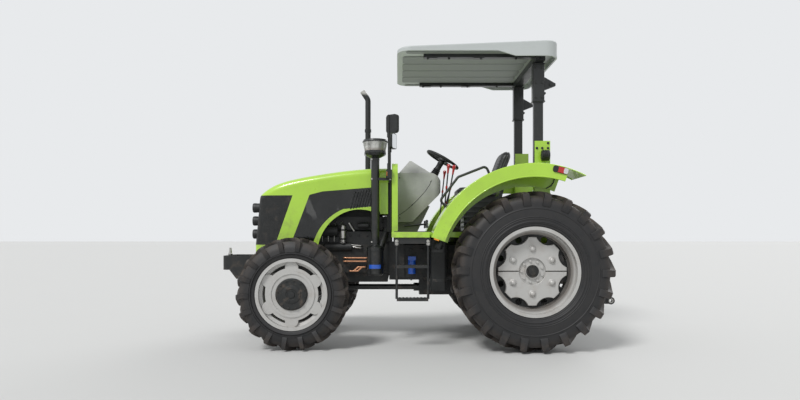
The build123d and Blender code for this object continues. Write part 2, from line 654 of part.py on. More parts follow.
# Weight bracket: two deep side plates with a front and a rear cross plate, open at the top
NOSE_X = FRONT_AXLE_X + FRONT_OVERHANG
with BuildPart() as front_weight_bracket:
    with BuildSketch(Plane.XZ):
        with BuildLine():
            Polyline((FRAME_FRONT_X + FIT, BRACKET_BOTTOM_Z + BRACKET_PLATE),
                     (FRAME_FRONT_X + FIT, BRACKET_TOP_Z),
                     (NOSE_X, BRACKET_TOP_Z), (NOSE_X, BRACKET_TOP_Z - BRACKET_NOSE_H),
                     (NOSE_X - 3 * BRACKET_PLATE, BRACKET_TOP_Z - BRACKET_NOSE_H),
                     (NOSE_X - BRACKET_NOSE_H, BRACKET_BOTTOM_Z), (FRAME_FRONT_X + BRACKET_PLATE,
                                                                   BRACKET_BOTTOM_Z),
                     close=True)
        make_face()
    extrude(amount=BRACKET_HALF_W, both=True)
    fillet(front_weight_bracket.edges().filter_by(Axis.Z).sort_by(Axis.X)[-2:], 2 * BRACKET_PLATE)
    block(FRAME_FRONT_X + 2 * BRACKET_PLATE, NOSE_X - 2 * BRACKET_PLATE, -BRACKET_HALF_W + BRACKET_PLATE,
          BRACKET_HALF_W - BRACKET_PLATE, BRACKET_BOTTOM_Z + BRACKET_PLATE, BRACKET_TOP_Z, mode=Mode.SUBTRACT)
    rod((NOSE_X - BRACKET_PLATE, 0, BRACKET_BOTTOM_Z), (NOSE_X - BRACKET_PLATE, 0, BRACKET_TOP_Z),
        DRAWBAR_HOLE_R, mode=Mode.SUBTRACT)
save(front_weight_bracket.part, "front_weight_bracket")

# Radiator core with its tanks and the round fan shroud behind it
RADIATOR_REAR_X = FRONT_AXLE_X + RADIATOR_REAR
RADIATOR_FRONT_X = FRONT_AXLE_X + RADIATOR_FRONT
FAN_Z = (FRAME_TOP_Z + RADIATOR_TOP_Z) / 2
with BuildPart() as radiator:
    block(RADIATOR_REAR_X, RADIATOR_FRONT_X, -RADIATOR_HALF_W, RADIATOR_HALF_W,
          FRAME_TOP_Z + FIT, RADIATOR_TOP_Z)
    fillet(radiator.edges().filter_by(Axis.Y).sort_by(Axis.Z)[-2:], FRAME_WALL)
    with BuildSketch(cross_plane(RADIATOR_REAR_X)):
        with Locations((0, FAN_Z)):
            Circle(FAN_R + FRAME_WALL)
            Circle(FAN_R, mode=Mode.SUBTRACT)
    extrude(amount=RADIATOR_REAR)
save(radiator.part, "radiator")

# Engine: block, oil pan, cylinder head and cover, with the pump, alternator, starter and fan
ENGINE_REAR_X = FRONT_AXLE_X - ENGINE_REAR
ENGINE_FRONT_X = FRONT_AXLE_X - ENGINE_FRONT
PAN_BOTTOM_Z = FRONT_AXLE_Z + PAN_CLEAR
PUMP_R = 46.0
ALTERNATOR_R = 62.0
STARTER_R = 48.0
MANIFOLD_R = 34.0
PULLEY_R = 86.0
PULLEY_Z = FRAME_TOP_Z + PULLEY_R + FRAME_WALL

with BuildPart() as engine:
    block(ENGINE_REAR_X, ENGINE_FRONT_X, -BLOCK_HALF_W, BLOCK_HALF_W, PAN_TOP_Z, BLOCK_TOP_Z)
    chamfer(engine.edges().filter_by(Axis.X), BLOCK_HALF_W / 8)
    with BuildSketch(Plane.XY.offset(PAN_TOP_Z)):
        with Locations(((ENGINE_REAR_X + ENGINE_FRONT_X) / 2, 0)):
            Rectangle(ENGINE_REAR - ENGINE_FRONT, 2 * PAN_HALF_W)
    extrude(amount=PAN_BOTTOM_Z - PAN_TOP_Z, taper=12)
    block(ENGINE_REAR_X + PUMP_R, ENGINE_FRONT_X - PUMP_R, -HEAD_HALF_W, HEAD_HALF_W, BLOCK_TOP_Z, HEAD_TOP_Z)
    with BuildSketch(Plane.XY.offset(HEAD_TOP_Z)):
        with Locations(((ENGINE_REAR_X + ENGINE_FRONT_X) / 2, 0)):
            RectangleRounded(ENGINE_REAR - ENGINE_FRONT - 3 * PUMP_R, 2 * COVER_HALF_W, PUMP_R)
    extrude(amount=COVER_TOP_Z - HEAD_TOP_Z, taper=6)
    # injection pump and its drive on the left flank
    rod((ENGINE_FRONT_X - 60, BLOCK_HALF_W, 930), (ENGINE_FRONT_X - 330, BLOCK_HALF_W, 930), PUMP_R)
    # alternator on the left, above the pump
    rod((ENGINE_FRONT_X - 30, BLOCK_HALF_W, 1090), (ENGINE_FRONT_X - 190, BLOCK_HALF_W, 1090), ALTERNATOR_R)
    # starter low on the right, and the exhaust manifold along the head
    rod((ENGINE_REAR_X, -BLOCK_HALF_W, 780), (ENGINE_REAR_X + 260, -BLOCK_HALF_W, 780), STARTER_R)
    rod((ENGINE_REAR_X + 90, -HEAD_HALF_W, EXHAUST_ELBOW_Z),
        (ENGINE_FRONT_X - 90, -HEAD_HALF_W, EXHAUST_ELBOW_Z),
        MANIFOLD_R)
    # crank pulley, fan pulley, fan hub and blades ahead of the block
    rod((ENGINE_FRONT_X, 0, PULLEY_Z), (ENGINE_FRONT_X + PUMP_R, 0, PULLEY_Z), PULLEY_R)
    rod((ENGINE_FRONT_X, 0, FAN_Z), (RADIATOR_REAR_X - FRAME_WALL, 0, FAN_Z), PUMP_R)
    with BuildSketch(cross_plane(RADIATOR_REAR_X - 2 * FRAME_WALL)):
        with Locations((0, FAN_Z)):
            with PolarLocations(FAN_R / 2, 6):
                Rectangle(FAN_R - 4 * FIT, PUMP_R * 1.4)
    extrude(amount=FRAME_WALL / 3)
save(engine.part, "engine")

# Drive line: gearbox with its bell housing and drop box, the shaft to the front axle, the rear axle
BELL_FRONT_X = ENGINE_REAR_X - FIT
CASE_FRONT_X = REAR_AXLE_X + AXLE_CASE_FRONT
CASE_REAR_X = REAR_AXLE_X - AXLE_CASE_REAR
DROP_FRONT_X = REAR_AXLE_X + DROP_BOX_FRONT
DROP_REAR_X = REAR_AXLE_X + DROP_BOX_REAR
DROP_BOTTOM_Z = FRONT_AXLE_Z - 2.6 * SHAFT_R

with BuildPart() as transmission:
    block(CASE_FRONT_X + FIT, BELL_FRONT_X, -GEARBOX_HALF_W, GEARBOX_HALF_W, GEARBOX_BOTTOM_Z, GEARBOX_TOP_Z)
    chamfer(transmission.edges().filter_by(Axis.X), GEARBOX_HALF_W / 6)
    block(BELL_FRONT_X - BELL_L, BELL_FRONT_X, -BELL_HALF_W, BELL_HALF_W, GEARBOX_BOTTOM_Z + SHAFT_R,
          GEARBOX_TOP_Z)
    block(DROP_REAR_X, DROP_FRONT_X, -DROP_BOX_HALF_W, DROP_BOX_HALF_W, DROP_BOTTOM_Z, GEARBOX_BOTTOM_Z)
    fillet(transmission.edges().filter_by(Axis.X).group_by(Axis.Z)[0], SHAFT_R)
    with GridLocations(0, 2 * GEARBOX_HALF_W, 1, 2):
        with Locations(*[(CASE_FRONT_X + step * 150, 0, (GEARBOX_BOTTOM_Z + GEARBOX_TOP_Z) / 2)
                         for step in (1, 2, 3, 4)]):
            Box(SHAFT_R / 2, SHAFT_R, GEARBOX_TOP_Z - GEARBOX_BOTTOM_Z - 4 * SHAFT_R)
save(transmission.part, "transmission")

with BuildPart() as drive_shaft:
    rod((DROP_FRONT_X + FIT, 0, FRONT_AXLE_Z), (FRONT_AXLE_X - PINION_NOSE - FIT, 0, FRONT_AXLE_Z), SHAFT_R)
    for joint_x, along in ((DROP_FRONT_X + FIT, 1), (FRONT_AXLE_X - PINION_NOSE - FIT, -1)):
        rod((joint_x, 0, FRONT_AXLE_Z), (joint_x + along * 2 * SHAFT_R, 0, FRONT_AXLE_Z), 1.5 * SHAFT_R)
save(drive_shaft.part, "drive_shaft")

LIFT_X = REAR_AXLE_X + LIFT_PIVOT_X
PAD_TOP_Z = REAR_AXLE_Z + TRUMPET_R - SHAFT_R / 2
PTO_Z = REAR_AXLE_Z - PTO_DROP
LINK_X = REAR_AXLE_X + LINK_PIVOT_X
PIN_R = LINK_BORE_R - FIT

with BuildPart() as rear_axle:
    block(CASE_REAR_X, CASE_FRONT_X, -AXLE_CASE_HALF_W, AXLE_CASE_HALF_W,
          REAR_AXLE_Z - AXLE_CASE_DOWN, REAR_AXLE_Z + AXLE_CASE_UP)
    chamfer(rear_axle.edges().filter_by(Axis.Y), AXLE_CASE_HALF_W / 4)
    with BuildSketch(cross_plane(REAR_AXLE_X)):
        with BuildLine():
            Polyline((0, REAR_AXLE_Z), (0, REAR_AXLE_Z + TRUMPET_R),
                     (AXLE_CASE_HALF_W, REAR_AXLE_Z + TRUMPET_R),
                     (TRUMPET_END - TRUMPET_FLANGE_T, REAR_AXLE_Z + TRUMPET_END_R),
                     (TRUMPET_END - TRUMPET_FLANGE_T, REAR_AXLE_Z + TRUMPET_FLANGE_R),
                     (TRUMPET_END, REAR_AXLE_Z + TRUMPET_FLANGE_R), (TRUMPET_END, REAR_AXLE_Z), close=True)
        make_face()
        mirror(about=Plane.YZ)
    revolve(axis=REAR_AXLE)
    for side, sign in SIDES:
        rod((REAR_AXLE_X, sign * TRUMPET_END, REAR_AXLE_Z),
            (REAR_AXLE_X, sign * (TRUMPET_END - SHAFT_DEPTH - FIT), REAR_AXLE_Z), REAR_SHAFT_R + FIT,
            mode=Mode.SUBTRACT)
        # flat pad for the foot of the roll bar
        block(REAR_AXLE_X - TRUMPET_END_R, REAR_AXLE_X + TRUMPET_END_R, sign * (POST_Y - BRACKET_W / 2),
              sign * (POST_Y + BRACKET_W / 2), REAR_AXLE_Z + TRUMPET_END_R * 0.7, PAD_TOP_Z)
        # pin that carries the lower link
        rod((LINK_X, sign * (AXLE_CASE_HALF_W - SHAFT_R), LINK_PIVOT_Z),
            (LINK_X, sign * (LINK_PIVOT_Y + LINK_T), LINK_PIVOT_Z), PIN_R)
        block(LINK_X - LINK_EYE_R, LINK_X + LINK_EYE_R, sign * (AXLE_CASE_HALF_W - 2 * SHAFT_R),
              sign * (AXLE_CASE_HALF_W + SHAFT_R / 2), LINK_PIVOT_Z - LINK_EYE_R, REAR_AXLE_Z)
    # hydraulic lift housing with its cross shaft
    block(LIFT_X - 1.6 * ROCKSHAFT_R, CASE_FRONT_X - SHAFT_R, -LIFT_ARM_Y + LIFT_ARM_T,
          LIFT_ARM_Y - LIFT_ARM_T, REAR_AXLE_Z + AXLE_CASE_UP - SHAFT_R, LIFT_PIVOT_Z + 1.6 * ROCKSHAFT_R)
    rod((LIFT_X, -LIFT_ARM_Y - LIFT_ARM_T / 2, LIFT_PIVOT_Z),
        (LIFT_X, LIFT_ARM_Y + LIFT_ARM_T / 2, LIFT_PIVOT_Z),
        ROCKSHAFT_R - 14)
    # power take-off stub, and the two cheeks that hold the top link
    rod((CASE_REAR_X, 0, PTO_Z), (CASE_REAR_X - SHAFT_R / 2, 0, PTO_Z), 3 * PTO_R)
    rod((CASE_REAR_X, 0, PTO_Z), (CASE_REAR_X - SHAFT_R / 2 - PTO_L, 0, PTO_Z), PTO_R)
    for cheek in (-1, 1):
        block(REAR_AXLE_X + TOP_LINK_X - LINK_EYE_R, CASE_REAR_X, cheek * (LINK_T / 2 + 2 * FIT),
              cheek * (LINK_T + LINK_T / 2), TOP_LINK_Z - LINK_EYE_R, TOP_LINK_Z + LINK_EYE_R)
    rod((REAR_AXLE_X + TOP_LINK_X, -LINK_T, TOP_LINK_Z), (REAR_AXLE_X + TOP_LINK_X, LINK_T, TOP_LINK_Z),
        PIN_R)
save(rear_axle.part, "rear_axle")

# Swinging drawbar with its hanger under the rear axle
with BuildPart() as drawbar:
    with BuildSketch(Plane.XY.offset(DRAWBAR_TOP_Z - DRAWBAR_T)):
        with Locations(((2 * REAR_AXLE_X + DRAWBAR_END + AXLE_CASE_FRONT) / 2, 0)):
            SlotOverall(AXLE_CASE_FRONT - DRAWBAR_END, 2 * DRAWBAR_HALF_W)
        with Locations((REAR_AXLE_X + DRAWBAR_END + DRAWBAR_HALF_W, 0)):
            Circle(DRAWBAR_HOLE_R, mode=Mode.SUBTRACT)
    extrude(amount=DRAWBAR_T)
    for hanger_x in (CASE_REAR_X + AXLE_CASE_HALF_W / 2, CASE_FRONT_X - AXLE_CASE_HALF_W):
        block(hanger_x - DRAWBAR_HALF_W, hanger_x + DRAWBAR_HALF_W, -2 * DRAWBAR_HALF_W, 2 * DRAWBAR_HALF_W,
              DRAWBAR_TOP_Z - DRAWBAR_T / 2, REAR_AXLE_Z - AXLE_CASE_DOWN - FIT)
save(drawbar.part, "drawbar")

# Spin-on filters: one under the intake stack, one under the platform
FILTER_R = 38.0
FILTER_L = 135.0
FILTER_Y = BLOCK_HALF_W + 2 * FILTER_R
with BuildPart() as filters:
    for filter_x, carrier_y in ((ENGINE_REAR_X + 120, BLOCK_HALF_W),
                                (BELL_FRONT_X - BELL_L - 2 * FILTER_R, GEARBOX_HALF_W)):
        top_z = FRAME_BOTTOM_Z + FILTER_L
        rod((filter_x, FILTER_Y, top_z - FILTER_L), (filter_x, FILTER_Y, top_z), FILTER_R)
        block(filter_x - FILTER_R, filter_x + FILTER_R, carrier_y + FIT, FILTER_Y + FILTER_R, top_z,
              top_z + FILTER_R)
save(filters.part, "filters")

# Hydraulic pipes: a straight pair along the engine and a bent pair below them
PIPE_R = 8.0
PIPE_Y = BLOCK_HALF_W + 2 * PIPE_R
PIPE_LEVELS_Z = (822.0, 788.0)
with BuildPart() as hydraulic_pipes:
    for pipe_z in PIPE_LEVELS_Z:
        with BuildLine():
            FilletPolyline((ENGINE_FRONT_X - 250, BLOCK_HALF_W + FIT, pipe_z),
                           (ENGINE_FRONT_X - 250, PIPE_Y + 40, pipe_z),
                           (ENGINE_REAR_X + 210, PIPE_Y + 40, pipe_z), (ENGINE_REAR_X + 210,
                                                                        BLOCK_HALF_W + FIT, pipe_z),
                           radius=3 * PIPE_R)
        with BuildSketch(Plane(origin=(ENGINE_FRONT_X - 250, BLOCK_HALF_W + FIT, pipe_z), z_dir=(0, 1, 0))):
            Circle(PIPE_R)
        sweep()
    for low_x in (ENGINE_FRONT_X - 310, ENGINE_FRONT_X - 350):
        with BuildLine():
            FilletPolyline((low_x, BLOCK_HALF_W + FIT, 690), (low_x, PIPE_Y + 30, 690),
                           (low_x - 40, PIPE_Y + 30, 690),
                           (low_x - 85, PIPE_Y + 30, 730), (low_x - 160, PIPE_Y + 30, 730),
                           (low_x - 160, BLOCK_HALF_W + FIT, 730), radius=1.5 * PIPE_R)
        with BuildSketch(Plane(origin=(low_x, BLOCK_HALF_W + FIT, 690), z_dir=(0, 1, 0))):
            Circle(PIPE_R)
        sweep()
save(hydraulic_pipes.part, "hydraulic_pipes")

# Air intake: cleaner canister on the engine's left, stack pipe, neck and cap of the pre-cleaner
INTAKE_X = FRONT_AXLE_X + STACK_X
BOWL_T = 8.0
with BuildPart() as air_intake:
    with BuildSketch(Plane(origin=(INTAKE_X, 0, 0), x_dir=(0, 1, 0), z_dir=(1, 0, 0))):
        with BuildLine():
            Polyline((STACK_Y, CLEANER_BOTTOM_Z), (STACK_Y + CLEANER_R * 0.8, CLEANER_BOTTOM_Z),
                     (STACK_Y + CLEANER_R, CLEANER_BOTTOM_Z + STACK_R / 2),
                     (STACK_Y + CLEANER_R, CLEANER_TOP_Z - STACK_R / 2), (STACK_Y + STACK_R, CLEANER_TOP_Z),
                     (STACK_Y + STACK_R, BOWL_BOTTOM_Z - BOWL_BASE_H - BOWL_BASE_H / 2),
                     (STACK_Y + 0.85 * BOWL_FOOT_R, BOWL_BOTTOM_Z - BOWL_BASE_H),
                     (STACK_Y + BOWL_FOOT_R, BOWL_BOTTOM_Z - BOWL_BASE_H / 2),
                     (STACK_Y + BOWL_FOOT_R, BOWL_BOTTOM_Z - FIT), (STACK_Y, BOWL_BOTTOM_Z - FIT), close=True)
        make_face()
    revolve(axis=Axis((INTAKE_X, STACK_Y, 0), (0, 0, 1)))
    with BuildSketch(Plane.XY.offset(BOWL_TOP_Z + FIT)):
        with Locations((INTAKE_X, STACK_Y)):
            Circle(BOWL_R)
    extrude(amount=CAP_TOP_Z - BOWL_TOP_Z - FIT, taper=25)
    rod((INTAKE_X, STACK_Y, CLEANER_TOP_Z - 2 * STACK_R),
        (INTAKE_X, BLOCK_HALF_W + FIT, CLEANER_TOP_Z - 2 * STACK_R), STACK_R * 0.9)
save(air_intake.part, "air_intake")

with BuildPart() as precleaner_bowl:
    with BuildSketch(Plane(origin=(INTAKE_X, 0, 0), x_dir=(0, 1, 0), z_dir=(1, 0, 0))):
        with BuildLine():
            Polyline((STACK_Y, BOWL_BOTTOM_Z), (STACK_Y + BOWL_FOOT_R, BOWL_BOTTOM_Z),
                     (STACK_Y + BOWL_R - BOWL_T / 4, BOWL_TOP_Z - BOWL_T),
                     (STACK_Y + BOWL_R - BOWL_T / 4, BOWL_TOP_Z), (STACK_Y, BOWL_TOP_Z), close=True)
        make_face()
    revolve(axis=Axis((INTAKE_X, STACK_Y, 0), (0, 0, 1)))
save(precleaner_bowl.part, "precleaner_bowl")

# Exhaust: elbow from the manifold, upright stack and a cut tip bent forward, all one tube
OUTLET_X = FRONT_AXLE_X + EXHAUST_X
ELBOW_R = 2.5 * EXHAUST_R
with BuildPart() as exhaust_stack:
    with BuildLine():
        FilletPolyline((OUTLET_X, -HEAD_HALF_W - MANIFOLD_R - FIT, EXHAUST_ELBOW_Z),
                       (OUTLET_X, EXHAUST_Y, EXHAUST_ELBOW_Z),
                       (OUTLET_X, EXHAUST_Y, EXHAUST_TOP_Z - 2 * EXHAUST_R),
                       (OUTLET_X + 2 * EXHAUST_R, EXHAUST_Y, EXHAUST_TOP_Z + EXHAUST_R), radius=ELBOW_R)
    with BuildSketch(Plane(origin=(OUTLET_X, -HEAD_HALF_W - MANIFOLD_R - FIT, EXHAUST_ELBOW_Z),
                           z_dir=(0, -1, 0))):
        Circle(EXHAUST_R)
        Circle(EXHAUST_R - EXHAUST_WALL, mode=Mode.SUBTRACT)
    sweep()
    with BuildSketch(Plane.XY.offset(2180)):
        with Locations((OUTLET_X, EXHAUST_Y)):
            Circle(EXHAUST_R + EXHAUST_WALL * 2)
            Circle(EXHAUST_R - EXHAUST_WALL, mode=Mode.SUBTRACT)
    extrude(amount=EXHAUST_R)
save(exhaust_stack.part, "exhaust_stack")

# Platform: a folded floor, narrow between the fenders and wide behind the cowl, on four mounts
PLATFORM_BOTTOM_Z = PLATFORM_TOP_Z - PLATFORM_T
COWL_REAR_X = FRONT_AXLE_X - COWL_REAR
COWL_FRONT_X = FRONT_AXLE_X - COWL_FRONT
WIDE_REAR_X = REAR_AXLE_X + STEP_WIDE_REAR
FLOOR_REAR_X = REAR_AXLE_X + PLATFORM_REAR
FLOOR_HALF_W = FENDER_IN_Y - FIT
with BuildPart() as platform:
    with BuildSketch(Plane.XY.offset(PLATFORM_BOTTOM_Z)):
        with BuildLine():
            Polyline((FLOOR_REAR_X, FLOOR_HALF_W), (WIDE_REAR_X, FLOOR_HALF_W),
                     (WIDE_REAR_X, PLATFORM_HALF_W),
                     (COWL_FRONT_X, PLATFORM_HALF_W), (COWL_FRONT_X, -PLATFORM_HALF_W),
                     (WIDE_REAR_X, -PLATFORM_HALF_W), (WIDE_REAR_X, -FLOOR_HALF_W), (FLOOR_REAR_X,
                                                                                     -FLOOR_HALF_W),
                     close=True)
        make_face()
    extrude(amount=PLATFORM_T)
    with BuildSketch(Plane.XY.offset(GEARBOX_TOP_Z + FIT)):
        with Locations(*[(x, y) for x in (FLOOR_REAR_X + 200, BELL_FRONT_X - BELL_L)
                         for y in (-GEARBOX_HALF_W / 2, GEARBOX_HALF_W / 2)]):
            Circle(STACK_R)
    extrude(amount=PLATFORM_BOTTOM_Z - GEARBOX_TOP_Z - FIT)
save(platform.part, "platform")

# Cowl: the upright panel behind the hood, round-shouldered, with the two hinge ears
HINGE_WORLD_X = FRONT_AXLE_X + HINGE_X
EAR_Y = 180.0
EAR_T = 20.0
with BuildPart() as cowl:
    with BuildSketch(cross_plane(COWL_REAR_X)):
        with Locations((0, (PLATFORM_TOP_Z + FIT + COWL_TOP_Z) / 2)):
            Rectangle(2 * COWL_HALF_W, COWL_TOP_Z - PLATFORM_TOP_Z - FIT)
        fillet(vertices().group_by(Axis.Y)[-1], COWL_FRONT / 10)
    extrude(amount=COWL_REAR - COWL_FRONT)
    for ear_y in (-EAR_Y, EAR_Y):
        block(COWL_FRONT_X, HINGE_WORLD_X, ear_y - EAR_T / 2, ear_y + EAR_T / 2, HINGE_Z - 1.5 * HINGE_R,
              HINGE_Z + HINGE_R / 2)
        rod((HINGE_WORLD_X, ear_y - EAR_T / 2, HINGE_Z), (HINGE_WORLD_X, ear_y + EAR_T / 2, HINGE_Z),
            1.5 * HINGE_R)
    rod((HINGE_WORLD_X, -EAR_Y - 2 * EAR_T, HINGE_Z), (HINGE_WORLD_X, EAR_Y + 2 * EAR_T, HINGE_Z), HINGE_R)
save(cowl.part, "cowl")

# Console: moulded shroud with a round back and a peaked top, over a narrower pedestal
CONSOLE_FRONT_X = COWL_REAR_X - FIT
SHROUD_L = 430.0
SHROUD_TOP_Z = 1668.0
SHROUD_BOTTOM_Z = 1180.0
SHROUD_RISE = 75.0           # underside, halfway back
SHROUD_BACK_X = CONSOLE_FRONT_X - 0.8 * SHROUD_L
SHROUD_TAIL_X = CONSOLE_FRONT_X - 0.9 * SHROUD_L
SHROUD_TAIL_Z = SHROUD_TOP_Z - 240
LEG_L = 140.0                # pedestal's half width
COLUMN_DIR = Vector(-math.sin(math.radians(COLUMN_TILT)), 0, math.cos(math.radians(COLUMN_TILT)))
WHEEL_CENTRE = Vector(FRONT_AXLE_X - WHEEL_X, 0, WHEEL_Z)
COLUMN_FOOT = WHEEL_CENTRE - COLUMN_DIR * 330
HUB_UNDER = WHEEL_CENTRE - COLUMN_DIR * 60
with BuildPart() as console:
    with BuildSketch(Plane.XZ):
        with BuildLine():
            Polyline((SHROUD_TAIL_X, SHROUD_TAIL_Z), (CONSOLE_FRONT_X - SHROUD_L / 2, SHROUD_BOTTOM_Z + SHROUD_RISE),
                     (CONSOLE_FRONT_X - SHROUD_L / 3, SHROUD_BOTTOM_Z), (CONSOLE_FRONT_X, SHROUD_BOTTOM_Z),
                     (CONSOLE_FRONT_X, SHROUD_TOP_Z), (SHROUD_BACK_X, SHROUD_TOP_Z))
            ThreePointArc((SHROUD_BACK_X, SHROUD_TOP_Z),
                          (CONSOLE_FRONT_X - SHROUD_L, (2 * SHROUD_TOP_Z + SHROUD_TAIL_Z) / 3),
                          (SHROUD_TAIL_X, SHROUD_TAIL_Z))
        make_face()
    extrude(amount=CONSOLE_HALF_W, both=True)
    with BuildSketch(Plane.XY.offset(SHROUD_BOTTOM_Z - LEG_L)):
        with Locations((CONSOLE_FRONT_X, 0)):
            RectangleRounded(2 * SHROUD_L, 2 * CONSOLE_HALF_W, LEG_L / 2)
    extrude(amount=CONSOLE_PEAK_Z, mode=Mode.INTERSECT)
    with BuildSketch(Plane.XY.offset(SHROUD_TOP_Z)):
        with Locations(((CONSOLE_FRONT_X + SHROUD_BACK_X) / 2, 0)):
            Rectangle(CONSOLE_FRONT_X - SHROUD_BACK_X - LEG_L / 7, 2 * CONSOLE_HALF_W - LEG_L / 2)
    with BuildSketch(Plane.XY.offset(CONSOLE_PEAK_Z)):
        with Locations((CONSOLE_FRONT_X - 0.3 * SHROUD_L, 0)):
            Rectangle(LEG_L / 7, LEG_L)
    loft()
    with BuildSketch(Plane.XZ):
        with BuildLine():
            Polyline((CONSOLE_FRONT_X, PLATFORM_TOP_Z + FIT), (CONSOLE_FRONT_X, SHROUD_TAIL_Z),
                     (CONSOLE_FRONT_X - 0.75 * SHROUD_L, (SHROUD_BOTTOM_Z + SHROUD_RISE + SHROUD_TAIL_Z) / 2),
                     (CONSOLE_FRONT_X - 1.4 * LEG_L, PLATFORM_TOP_Z + FIT), close=True)
        make_face()
    extrude(amount=LEG_L, both=True)
    rod(tuple(COLUMN_FOOT), tuple(HUB_UNDER), COLUMN_R)
save(console.part, "console")

# Steering wheel: rim, three spokes and a hub on the leaning column
with BuildPart() as steering_wheel:
    wheel_plane = Plane(origin=WHEEL_CENTRE, x_dir=(0, 1, 0), z_dir=COLUMN_DIR)
    with Locations(wheel_plane.location):
        Torus(WHEEL_R - WHEEL_GRIP_R, WHEEL_GRIP_R)
    with BuildSketch(wheel_plane.offset(-WHEEL_GRIP_R / 2)):
        with PolarLocations((WHEEL_R - WHEEL_GRIP_R) / 2, 3, start_angle=-90):
            Rectangle(WHEEL_R - WHEEL_GRIP_R, 2 * WHEEL_GRIP_R)
    extrude(amount=WHEEL_GRIP_R)
    with BuildSketch(wheel_plane.offset(-60 + FIT)):
        Circle(COLUMN_R * 1.2)
    extrude(amount=60)
    with BuildSketch(wheel_plane.offset(-WHEEL_GRIP_R)):
        Circle(COLUMN_R * 2)
    extrude(amount=2 * WHEEL_GRIP_R, taper=10)
save(steering_wheel.part, "steering_wheel")

# Seat: suspension box, cushion and backrest
SEAT_BASE_HALF_W = 170.0
SEAT_REAR_X = REAR_AXLE_X + SEAT_REAR
SEAT_FRONT_X = REAR_AXLE_X + SEAT_FRONT
SEAT_BOTTOM_Z = SEAT_TOP_Z - SEAT_T
BACK_BOTTOM_Z = SEAT_TOP_Z + FIT
with BuildPart() as seat_base:
    block(FLOOR_REAR_X + SEAT_T / 4, SEAT_FRONT_X - SEAT_T, -SEAT_BASE_HALF_W, SEAT_BASE_HALF_W,
          PLATFORM_TOP_Z + FIT,
          SEAT_BOTTOM_Z - FIT)
    chamfer(seat_base.edges().filter_by(Axis.Z), SEAT_T / 4)
    with BuildSketch(Plane.XZ):
        with BuildLine():
            Polyline((SEAT_REAR_X - SEAT_T / 4, SEAT_BOTTOM_Z - SEAT_T / 2),
                     (SEAT_FRONT_X - SEAT_T, SEAT_BOTTOM_Z - SEAT_T / 2),
                     (SEAT_FRONT_X - SEAT_T, SEAT_BOTTOM_Z - FIT), (SEAT_REAR_X - FIT, SEAT_BOTTOM_Z - FIT),
                     (SEAT_REAR_X - BACK_LEAN / 2 - FIT, BACK_BOTTOM_Z + BACK_LEAN),
                     (SEAT_REAR_X - BACK_LEAN / 2 - SEAT_T / 4, BACK_BOTTOM_Z + BACK_LEAN), close=True)
        make_face()
    extrude(amount=SEAT_BASE_HALF_W, both=True)
save(seat_base.part, "seat_base")

with BuildPart() as seat_cushion:
    block(SEAT_REAR_X, SEAT_FRONT_X, -SEAT_HALF_W, SEAT_HALF_W, SEAT_BOTTOM_Z, SEAT_TOP_Z)
    fillet(seat_cushion.edges().filter_by(Axis.Z), SEAT_T * 0.8)
    fillet(seat_cushion.faces().sort_by(Axis.Z)[-1].edges(), SEAT_T / 3)
save(seat_cushion.part, "seat_cushion")

with BuildPart() as seat_backrest:
    with BuildSketch(Plane.XZ):
        with BuildLine():
            Polyline((SEAT_REAR_X, BACK_BOTTOM_Z), (SEAT_REAR_X + BACK_T, BACK_BOTTOM_Z),
                     (SEAT_REAR_X - BACK_LEAN + BACK_T, BACK_TOP_Z), (SEAT_REAR_X - BACK_LEAN,
                                                                      BACK_TOP_Z), close=True)
        make_face()
    extrude(amount=SEAT_HALF_W - SEAT_T / 4, both=True)
    fillet(seat_backrest.edges().filter_by(Axis.X).sort_by(Axis.Z)[-2:], SEAT_T)
    fillet(seat_backrest.edges().filter_by(Axis.Y).sort_by(Axis.Z)[-2:], SEAT_T / 4)
save(seat_backrest.part, "seat_backrest")

# Controls: hand levers beside the seat, and the pedals on the console's leg
LEVER_R = 7.0
KNOB_R = 16.0
LEVER_FOOT_X = FRONT_AXLE_X - 1400
with BuildPart() as controls:
    for lever_y, lean, lever_top in ((300, 60, 1730), (340, 110, 1715), (-300, 70, 1730), (-345, 150, 1600)):
        foot = (LEVER_FOOT_X, lever_y, PLATFORM_TOP_Z + FIT)
        tip = (LEVER_FOOT_X - lean, lever_y, lever_top)
        rod(foot, (LEVER_FOOT_X, lever_y, PLATFORM_TOP_Z + 2 * KNOB_R), 2 * LEVER_R)
        rod((LEVER_FOOT_X, lever_y, PLATFORM_TOP_Z + KNOB_R), tip, LEVER_R)
        with Locations(tip):
            Sphere(KNOB_R)
    for pedal_y in (-240, 160, 240):
        hinge_y = math.copysign(LEG_L + FIT, pedal_y)
        rod((CONSOLE_FRONT_X - LEG_L / 2, hinge_y, SHROUD_BOTTOM_Z - 40),
            (CONSOLE_FRONT_X - LEG_L / 2, pedal_y, SHROUD_BOTTOM_Z - 40),
            LEVER_R)
        rod((CONSOLE_FRONT_X - LEG_L / 2, pedal_y, SHROUD_BOTTOM_Z - 40),
            (CONSOLE_FRONT_X - 2 * LEG_L, pedal_y, SHROUD_BOTTOM_Z - 20),
            LEVER_R)
        block(CONSOLE_FRONT_X - 2 * LEG_L - KNOB_R, CONSOLE_FRONT_X - 2 * LEG_L, pedal_y - 2 * KNOB_R,
              pedal_y + 2 * KNOB_R,
              SHROUD_BOTTOM_Z - 60, SHROUD_BOTTOM_Z + 20)
save(controls.part, "controls")

# Fenders: inner wall, rolled top and outer lip, all round the rear axle
def fender_sector(inner_r, outer_r, start_angle, end_angle):
    """Ring sector about the rear axle, in the plane of a side sketch."""
    with BuildSketch() as sector:
        with BuildLine():
            inner = CenterArc((0, 0), inner_r, start_angle, end_angle - start_angle)
            outer = CenterArc((0, 0), outer_r, start_angle, end_angle - start_angle)
            Line(inner @ 0, outer @ 0)
            Line(inner @ 1, outer @ 1)
        make_face()
    return sector.sketch


